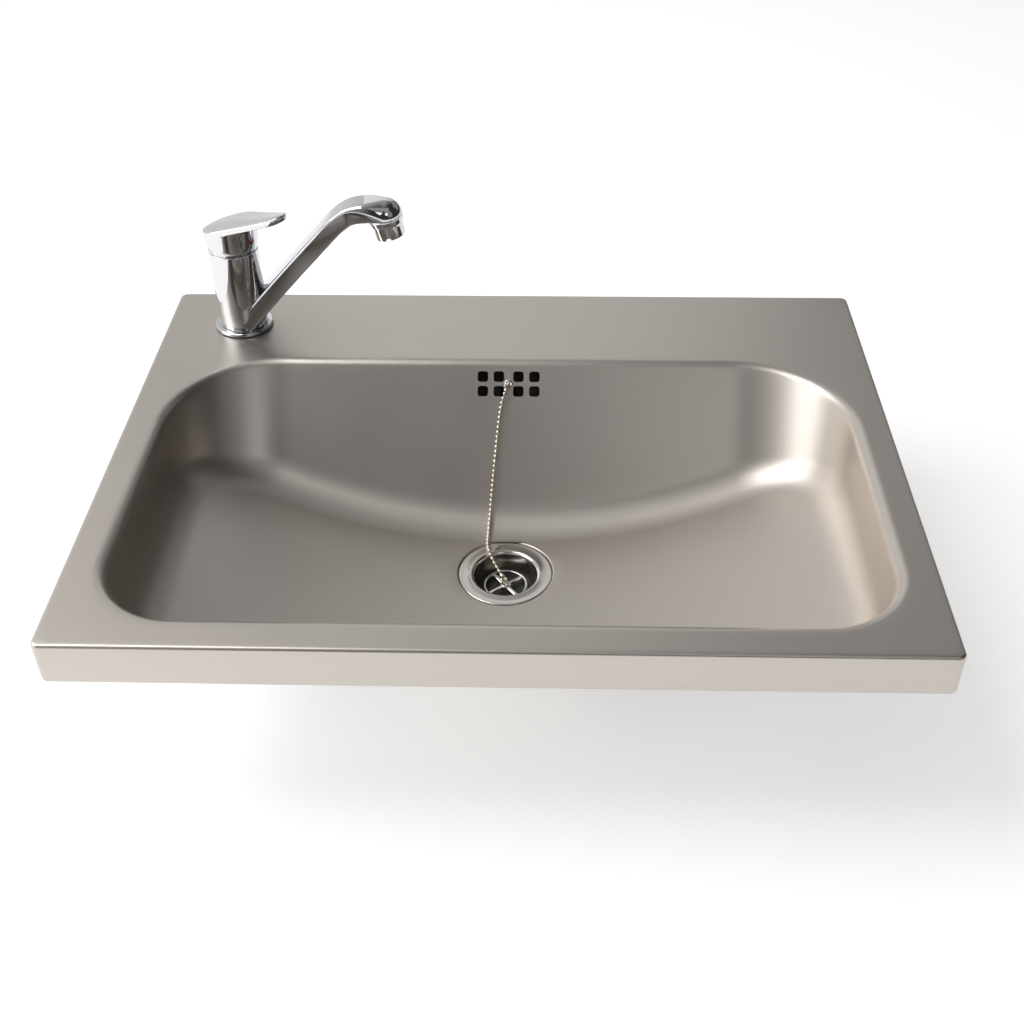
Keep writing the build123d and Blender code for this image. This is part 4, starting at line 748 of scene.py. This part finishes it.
spout_shell.spin(nozzle, nozzle_place, steps=120, closed=True)
spout_shell.points = [tap_place @ Vector(p) for p in spout_shell.points]
spout = spout_shell.make("spout_skin", "spout", sharp=35)
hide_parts("spout_shell")
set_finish(spout, "tap_chrome")

# %% [markdown]
# The aerator screws into the nozzle. Its two spanner notches are punched out of the turned ring.
# The insert inside it has fine raised rings, as the mesh of a real one has.

# %% Tap: aerator and dome ring
def on_nozzle(shell):
    """Move a shell from the nozzle's own axis to its place on the tap."""
    shell.points = [tap_place @ (nozzle_place @ Vector(p)) for p in shell.points]
    return shell

housing = [(11.0, -11.0), (10.2, -11.0), (10.2, -11.8), (10.4, -12.0)] + arc((12.5, -11.4), 0.6, -90, 0, 4)
housing += [(13.1, -0.9), (12.7, -0.5), (12.7, 0.0), (12.0, 0.0), (12.0, 6.0), (11.0, 6.0)]
aerator_shell = Shell().spin(housing, Matrix(), 120, closed=True)
aerator = on_nozzle(aerator_shell).make("aerator_skin", "spout", sharp=38)
notch_shell = Shell()
for side in (-1, 1):
    notch_shell.block(Matrix.Translation((12.0 * side, 0, -12.0)), (5.0, 4.0, 4.4), 0.3)
cut_away(aerator, on_nozzle(notch_shell).make("notch", None))
crisp(aerator.data, 38)
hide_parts("aerator_housing")
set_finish(aerator, "tap_chrome")

insert = [(0.02, -10.2)]
for k in range(6):
    for radius, level in ((1.2, -10.2), (1.4, -10.8), (1.9, -10.8), (2.1, -10.2)):
        insert.append((radius + 1.5 * k, level))
insert += [(10.5, -11.0), (10.9, -10.8), (10.9, 5.8), (0.02, 5.8)]
insert_shell = Shell().spin(insert, Matrix(), 72)
aerator_insert = on_nozzle(insert_shell).make("aerator_insert_skin", "spout", sharp=38)
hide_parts("aerator_insert")
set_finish(aerator_insert, "grey_plastic")

dome = [(15.6, 77.2)] + arc((0, 79.5), 19.9, -6.6, 7.8, 6) + [(15.6, 82.2)]
tap_ring("dome_ring_skin", dome, "dome_ring")

# %% [markdown]
# The lever's outline is a belt round two circles: the cap and the small end of the handle.
# Rings shrink inwards over the top, roll over the edge and run back under the handle to the cone of the cap.

# %% Tap: lever
LEVER_PLACE = tap_place @ Matrix.Rotation(radians(-32.0), 4, "Z")
ROOT_R, END_R, END_AT = 23.1, 10.6, 51.4
SKIRT_LOW = 77.6
EDGE_R = 1.3
HANDLE_THICK, HANDLE_EDGE_R = 5.6, 1.8
TOP_LOW, TOP_SLOPE, TIP_SLOPE = 90.8, tan(radians(16.5)), tan(radians(21.0))
SKIRT_R, FLARE_SLOPE = 21.8, 2.7 / 34.4
SKIRT_SLANT = tan(radians(17.5))
touch = np.arccos((ROOT_R - END_R) / END_AT)


def belt(shrink):
    """Outline of the lever seen from above, with both circles made smaller by a share."""
    root, end = ROOT_R * (1 - shrink), END_R * (1 - shrink)
    points = [(END_AT + end * cos(a), end * sin(a)) for a in np.linspace(-touch, touch, 33)]
    for k in range(1, 16):
        s = k / 16
        radius = end + (root - end) * s
        points.append((END_AT * (1 - s) + radius * cos(touch), radius * sin(touch)))
    points += [(root * cos(a), root * sin(a)) for a in np.linspace(touch, 2 * pi - touch, 65)]
    for k in range(1, 16):
        s = k / 16
        radius = root + (end - root) * s
        points.append((END_AT * s + radius * cos(touch), -radius * sin(touch)))
    return points


def top_level(x):
    """Height of the lever's top, which rises a little faster towards the tip."""
    run = (x + ROOT_R) / (END_AT + END_R + ROOT_R)
    return TOP_LOW + (x + ROOT_R) * (TOP_SLOPE + 0.5 * run * (TIP_SLOPE - TOP_SLOPE))


def cone_radius(level):
    """Outer radius of the flared cap."""
    return SKIRT_R + (level - SKIRT_LOW) * FLARE_SLOPE

lever_rings = []
for share in (1.0, 0.75, 0.5, 0.25, 0.12):
    lever_rings.append([(x, y, top_level(x) + 0.5 * share) for x, y in belt(share)])
outline = belt(0.0)
normals = []
for k in range(len(outline)):
    ax, ay = outline[k - 1]
    bx, by = outline[(k + 1) % len(outline)]
    size = sqrt((bx - ax) ** 2 + (by - ay) ** 2)
    normals.append(((by - ay) / size, (ax - bx) / size))
for a in (90, 67, 45, 22, 0):
    inset, drop = EDGE_R * (1 - cos(radians(a))), EDGE_R * (1 - sin(radians(a)))
    lever_rings.append([(x - nx * inset, y - ny * inset, top_level(x) - drop)
                        for (x, y), (nx, ny) in zip(outline, normals)])
for a in (0, 30, 60, 90):
    inset = HANDLE_EDGE_R * (1 - cos(radians(a)))
    drop = HANDLE_THICK - HANDLE_EDGE_R + HANDLE_EDGE_R * sin(radians(a))
    ring = []
    for (x, y), (nx, ny) in zip(outline, normals):
        level = top_level(x) - drop
        room = max(sqrt(x * x + y * y) - cone_radius(level), 0.0)
        pull = min(inset, room)
        ring.append((x - nx * pull, y - ny * pull, level))
    lever_rings.append(ring)
root_ring = []
for x, y, level in lever_rings[-1]:
    size = sqrt(x * x + y * y)
    radius = min(cone_radius(level), size)
    root_ring.append((x / size * radius, y / size * radius, top_level(x / size * radius) - HANDLE_THICK))
for share in (0.35, 0.7, 1.0):
    lever_rings.append([tuple(a[i] + (b[i] - a[i]) * share for i in range(3))
                        for a, b in zip(lever_rings[-1], root_ring)])
for share in (0.03, 0.2, 0.4, 0.6, 0.8, 0.97, 1.0):
    ring = []
    for x, y, level in root_ring:
        size = sqrt(x * x + y * y)
        foot = SKIRT_LOW + max(0.0, -x / size * SKIRT_R * SKIRT_SLANT)
        now = level + (foot - level) * share
        radius = cone_radius(now) - (0.4 if share == 1.0 else 0.0)
        ring.append((x / size * radius, y / size * radius, now))
    lever_rings.append(ring)
skirt_end = lever_rings[-1]
for radius, level in ((20.9, None), (20.5, None), (20.5, 86.0), (19.6, 88.0), (18.0, 89.0), (6.0, 89.0)):
    ring = []
    for x, y, low in skirt_end:
        size = sqrt(x * x + y * y)
        rim_level = low + (0.2 if radius < 20.6 else 0.0)
        ring.append((x / size * radius, y / size * radius, rim_level if level is None else level))
    lever_rings.append(ring)
lever_shell = Shell().skin(lever_rings, cap_end=True)
lever_shell.points = [LEVER_PLACE @ Vector(p) for p in lever_shell.points]
lever = lever_shell.make("lever_skin", "lever", sharp=40)
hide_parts("lever")
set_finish(lever, "tap_chrome")

mark_level = 86.0
mark_place = LEVER_PLACE @ aim((cone_radius(mark_level), 0, mark_level), (1, 0, 0.0), (0, 1, 0))
mark = [(0.02, -1.5), (2.8, -1.5), (2.8, -0.1)] + arc((2.5, 0.0), 0.3, 0, 90, 3) + [(1.4, 0.42), (0.02, 0.5)]
indicator = Shell().spin(mark, mark_place, 40).make("indicator_skin", "lever")
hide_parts("lever_indicator")
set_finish(indicator, "indicator")

# %% [markdown]
# All finishes share one node group. It clouds the colour, rubs the edges, varies the roughness and adds
# grain. Each material then keeps its own Principled shader, so its metal or plastic nature stays easy to
# read.

# %% Shared surface group
surface = bpy.data.node_groups.new("surface", "ShaderNodeTree")
for name, kind in (("Color", "Color"), ("Worn Color", "Color"), ("Stretch", "Vector"),
                   ("Grain Scale", "Float"), ("Grain", "Float"), ("Variation", "Float"),
                   ("Roughness", "Float"), ("Wear", "Float")):
    surface.interface.new_socket(name, in_out="INPUT", socket_type="NodeSocket" + kind)
for name, kind in (("Color", "Color"), ("Roughness", "Float"), ("Normal", "Vector")):
    surface.interface.new_socket(name, in_out="OUTPUT", socket_type="NodeSocket" + kind)


def node(tree, kind, place, **settings):
    """Add a node, place it and set its options."""
    made = tree.nodes.new(kind)
    made.location = place
    for key, value in settings.items():
        setattr(made, key, value)
    return made

group_in = node(surface, "NodeGroupInput", (-1100, 0))
group_out = node(surface, "NodeGroupOutput", (700, 0))
coords = node(surface, "ShaderNodeTexCoord", (-1100, -300))
stretch = node(surface, "ShaderNodeMapping", (-900, -300))
cloud = node(surface, "ShaderNodeTexNoise", (-700, 200))
cloud.inputs["Scale"].default_value = 9.0
cloud.inputs["Detail"].default_value = 4.0
grain = node(surface, "ShaderNodeTexNoise", (-700, -300))
grain.inputs["Detail"].default_value = 3.0
tint = node(surface, "ShaderNodeMapRange", (-450, 200))
tint.inputs["From Min"].default_value = 0.3
tint.inputs["From Max"].default_value = 0.7
low_value = node(surface, "ShaderNodeMath", (-700, 420), operation="SUBTRACT")
low_value.inputs[0].default_value = 1.0
high_value = node(surface, "ShaderNodeMath", (-700, 580), operation="ADD")
high_value.inputs[0].default_value = 1.0
shade = node(surface, "ShaderNodeHueSaturation", (-200, 200))
geometry = node(surface, "ShaderNodeNewGeometry", (-700, -80))
edge = node(surface, "ShaderNodeMapRange", (-450, -60))
edge.inputs["From Min"].default_value = 0.52
edge.inputs["From Max"].default_value = 0.62
worn = node(surface, "ShaderNodeMath", (-200, -60), operation="MULTIPLY")
blend_worn = node(surface, "ShaderNodeMix", (100, 150), data_type="RGBA")
rough_low = node(surface, "ShaderNodeMath", (-200, -250), operation="MULTIPLY")
rough_low.inputs[1].default_value = 0.9
rough_high = node(surface, "ShaderNodeMath", (-200, -400), operation="MULTIPLY")
rough_high.inputs[1].default_value = 1.1
rough = node(surface, "ShaderNodeMapRange", (100, -250))
bump = node(surface, "ShaderNodeBump", (350, -400))
bump.inputs["Distance"].default_value = 0.0002
for source, output, target, input_name in (
        (coords, "Object", stretch, "Vector"), (group_in, "Stretch", stretch, "Scale"),
        (coords, "Object", cloud, "Vector"), (stretch, "Vector", grain, "Vector"),
        (group_in, "Grain Scale", grain, "Scale"), (group_in, "Variation", low_value, 1),
        (group_in, "Variation", high_value, 1), (cloud, "Fac", tint, "Value"),
        (low_value, 0, tint, "To Min"), (high_value, 0, tint, "To Max"),
        (tint, "Result", shade, "Value"), (group_in, "Color", shade, "Color"),
        (geometry, "Pointiness", edge, "Value"), (edge, "Result", worn, 0),
        (group_in, "Wear", worn, 1), (worn, 0, blend_worn, "Factor"),
        (shade, "Color", blend_worn, 6), (group_in, "Worn Color", blend_worn, 7),
        (group_in, "Roughness", rough_low, 0), (group_in, "Roughness", rough_high, 0),
        (cloud, "Fac", rough, "Value"), (rough_low, 0, rough, "To Min"),
        (rough_high, 0, rough, "To Max"), (grain, "Fac", bump, "Height"),
        (group_in, "Grain", bump, "Strength"), (blend_worn, 2, group_out, "Color"),
        (rough, "Result", group_out, "Roughness"), (bump, "Normal", group_out, "Normal")):
    surface.links.new(source.outputs[output], target.inputs[input_name])
print("nodes in the shared group:", len(surface.nodes))

# %% [markdown]
# Each finish is a row of named values. Metals have Metallic at 1 and take their colour from reflections.

# %% Materials
def finish(slot, color, worn_color, roughness, metallic=0.0, grain_scale=900.0, grain_depth=0.1,
           variation=0.03, wear=0.3, stretched=(1, 1, 1), coat=0.0):
    """One material with the shared surface group in front of its own Principled shader."""
    material = bpy.data.materials.new(slot)
    material.use_nodes = True
    shader = material.node_tree.nodes["Principled BSDF"]
    look = node(material.node_tree, "ShaderNodeGroup", (-350, 0), node_tree=surface, width=200)
    look.inputs["Color"].default_value = (*color, 1)
    look.inputs["Worn Color"].default_value = (*worn_color, 1)
    look.inputs["Stretch"].default_value = stretched
    look.inputs["Grain Scale"].default_value = grain_scale
    look.inputs["Grain"].default_value = grain_depth
    look.inputs["Variation"].default_value = variation
    look.inputs["Roughness"].default_value = roughness
    look.inputs["Wear"].default_value = wear
    join = material.node_tree.links.new
    join(look.outputs["Color"], shader.inputs["Base Color"])
    join(look.outputs["Roughness"], shader.inputs["Roughness"])
    join(look.outputs["Normal"], shader.inputs["Normal"])
    shader.inputs["Metallic"].default_value = metallic
    shader.inputs["Coat Weight"].default_value = coat
    return material

LOOKS = {
    "sheet_steel": {"color": (0.56, 0.518, 0.475), "worn_color": (0.72, 0.69, 0.66), "roughness": 0.37,
                    "metallic": 1.0, "grain_scale": 1400, "grain_depth": 0.12, "variation": 0.012,
                    "wear": 0.35, "stretched": (0.25, 1, 1)},
    "plate_steel": {"color": (0.55, 0.55, 0.54), "worn_color": (0.7, 0.7, 0.7), "roughness": 0.5,
                    "metallic": 1.0, "grain_scale": 700, "grain_depth": 0.15, "variation": 0.05},
    "polished_steel": {"color": (0.62, 0.59, 0.56), "worn_color": (0.8, 0.79, 0.77), "roughness": 0.16,
                       "metallic": 1.0, "grain_depth": 0.05, "variation": 0.02},
    "tap_chrome": {"color": (0.68, 0.68, 0.70), "worn_color": (0.78, 0.78, 0.80), "roughness": 0.05,
                   "metallic": 1.0, "grain_scale": 500, "grain_depth": 0.01, "variation": 0.01, "wear": 0.1},
    "chain_nickel": {"color": (0.76, 0.69, 0.58), "worn_color": (0.93, 0.88, 0.8), "roughness": 0.16,
                     "metallic": 1.0, "grain_depth": 0.05, "variation": 0.04},
    "tap_brass": {"color": (0.74, 0.57, 0.30), "worn_color": (0.85, 0.7, 0.42), "roughness": 0.3,
                  "metallic": 1.0, "variation": 0.04},
    "black_rubber": {"color": (0.025, 0.025, 0.025), "worn_color": (0.08, 0.08, 0.08), "roughness": 0.75},
    "grey_rubber": {"color": (0.16, 0.16, 0.16), "worn_color": (0.26, 0.26, 0.26), "roughness": 0.75},
    "white_plastic": {"color": (0.78, 0.78, 0.76), "worn_color": (0.88, 0.88, 0.86), "roughness": 0.35},
    "grey_plastic": {"color": (0.24, 0.245, 0.25), "worn_color": (0.4, 0.4, 0.4), "roughness": 0.45},
    "pad_grey": {"color": (0.10, 0.10, 0.10), "worn_color": (0.2, 0.2, 0.2), "roughness": 0.85},
    "indicator": {"color": (0.45, 0.015, 0.015), "worn_color": (0.6, 0.1, 0.1), "roughness": 0.25,
                  "coat": 0.6},
}
finishes = {slot: finish(slot, **look) for slot, look in LOOKS.items()}
print("finishes:", len(finishes))

# %% [markdown]
# Every remaining piece of the solid model gets the finish of its slot as well, hidden or not. The overflow
# box behind the holes is painted near-black in place of its white plastic. This is painted shade, so the
# holes read as black, as the shade inside them does on a real sink.

# %% Give every piece its finish
slot_of = {row["node"]: row["material_slot"] for row in frame["record"]["subparts"]}
for name, obj in nodes.items():
    obj.data.materials.clear()
    obj.data.materials.append(finishes[slot_of[name]])
# Painted shade: this near-black finish on the overflow box stands in for the shade inside the overflow
# holes.
painted_shade = finish("overflow_painted_shade", (0.02, 0.02, 0.02), (0.06, 0.06, 0.06), 0.6)
nodes["overflow_box"].data.materials[0] = painted_shade
own_pieces = [o for o in bpy.data.objects if o.type == "MESH" and "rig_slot" in o]
for obj in own_pieces:
    obj.data.materials.clear()
    obj.data.materials.append(finishes[obj["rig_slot"]])

blue = finish("indicator_blue", (0.01, 0.012, 0.05), (0.1, 0.1, 0.2), 0.25, coat=0.6)
indicator.data.materials.append(blue)
upper_right = mark_place.to_3x3() @ Vector((0.8, -0.6, 0))
middle = mark_place.translation * MM
for face in indicator.data.polygons:
    face.material_index = int((face.center - middle).dot(upper_right) > 0)
print("pieces of the solid model:", len(nodes), "own pieces:", len(own_pieces))

# %% [markdown]
# The studio is plain: a pale floor, a few broad soft lights and a sky that is bright on the left and dim on
# the right. Steel shows nothing but what it reflects. The floor glows for the camera and for the rays of
# mirrors and glass, so it looks white in them too. Rays scattered by dull surfaces do not see that glow.

# %% Floor, light and sky
LIGHTS = (("key_light", (-1.10, -0.28, 1.65), 1.3, 19.0), ("window", (-2.60, -0.90, 1.10), 1.8, 20.0),
          ("upper_front", (0.52, -1.15, 1.89), 1.2, 1.2), ("front_right", (1.35, -1.60, 1.05), 1.2, 1.0),
          ("back_right", (1.35, 1.10, 1.05), 1.2, 1.0), ("back", (0.0, 1.66, 1.05), 1.2, 1.6),
          ("camera_side", (0.54, -1.90, 1.30), 0.6, 1.6))
AIM_AT = Vector((0, -0.25, -0.05))
SKY_SLOPE = (-0.65, 0.25, 0.03)
SKY_LEVEL, SKY_DARKEST, SKY_BRIGHTEST = 0.24, 0.04, 0.95
GLOW = 0.45


def lay_floor():
    """Pale floor just under the lowest piece."""
    level = min(corner[2] for corner in cad_box) - 0.0005
    floor_mesh = bpy.data.meshes.new("studio_floor")
    grid = bmesh.new()
    bmesh.ops.create_grid(grid, x_segments=8, y_segments=8, size=9.0)
    grid.to_mesh(floor_mesh)
    grid.free()
    floor_mesh.transform(Matrix.Translation((0, 0, level)))
    floor = bpy.data.objects.new("studio_floor", floor_mesh)
    bpy.context.collection.objects.link(floor)
    paper = bpy.data.materials.new("studio_paper")
    paper.use_nodes = True
    shader = paper.node_tree.nodes["Principled BSDF"]
    shader.inputs["Base Color"].default_value = (0.93, 0.93, 0.93, 1)
    shader.inputs["Roughness"].default_value = 0.9
    shader.inputs["Emission Color"].default_value = (1, 1, 1, 1)
    tree = paper.node_tree
    rays = node(tree, "ShaderNodeLightPath", (-800, -300))
    seen = node(tree, "ShaderNodeMath", (-600, -300), operation="ADD")
    shown = node(tree, "ShaderNodeMath", (-400, -300), operation="ADD", use_clamp=True)
    glow = node(tree, "ShaderNodeMath", (-200, -300), operation="MULTIPLY")
    glow.inputs[1].default_value = GLOW
    for source, output, target, number in (
            (rays, "Is Camera Ray", seen, 0), (rays, "Is Glossy Ray", seen, 1), (seen, "Value", shown, 0),
            (rays, "Is Transmission Ray", shown, 1), (shown, "Value", glow, 0),
            (glow, "Value", shader, "Emission Strength")):
        tree.links.new(source.outputs[output], target.inputs[number])
    floor_mesh.materials.append(paper)
    print("floor level:", round(level, 4))


def hang_lights():
    """Broad soft lights round the sink, all turned towards its middle."""
    for name, place, size, power in LIGHTS:
        lamp_data = bpy.data.lights.new(name, "AREA")
        lamp_data.size = size
        lamp_data.energy = power
        lamp = bpy.data.objects.new(name, lamp_data)
        lamp.location = place
        lamp.rotation_mode = "QUATERNION"
        lamp.rotation_quaternion = (Vector(place) - AIM_AT).to_track_quat("Z", "Y")
        bpy.context.collection.objects.link(lamp)
    print("lights:", len(LIGHTS))

lay_floor()
hang_lights()

world = bpy.data.worlds.new("studio")
bpy.context.scene.world = world
world.use_nodes = True
sky = world.node_tree
sky_coords = node(sky, "ShaderNodeTexCoord", (-800, 0))
slope = node(sky, "ShaderNodeVectorMath", (-600, 0), operation="DOT_PRODUCT")
slope.inputs[1].default_value = SKY_SLOPE
level = node(sky, "ShaderNodeMapRange", (-400, 0))
level.inputs["From Min"].default_value = SKY_DARKEST - SKY_LEVEL
level.inputs["From Max"].default_value = SKY_BRIGHTEST - SKY_LEVEL
level.inputs["To Min"].default_value = SKY_DARKEST
level.inputs["To Max"].default_value = SKY_BRIGHTEST
sky.links.new(sky_coords.outputs["Generated"], slope.inputs[0])
sky.links.new(slope.outputs["Value"], level.inputs["Value"])
sky.links.new(level.outputs["Result"], sky.nodes["Background"].inputs["Strength"])
sky.nodes["Background"].inputs["Color"].default_value = (1, 1, 1, 1)
bpy.context.scene.view_settings.view_transform = "Standard"
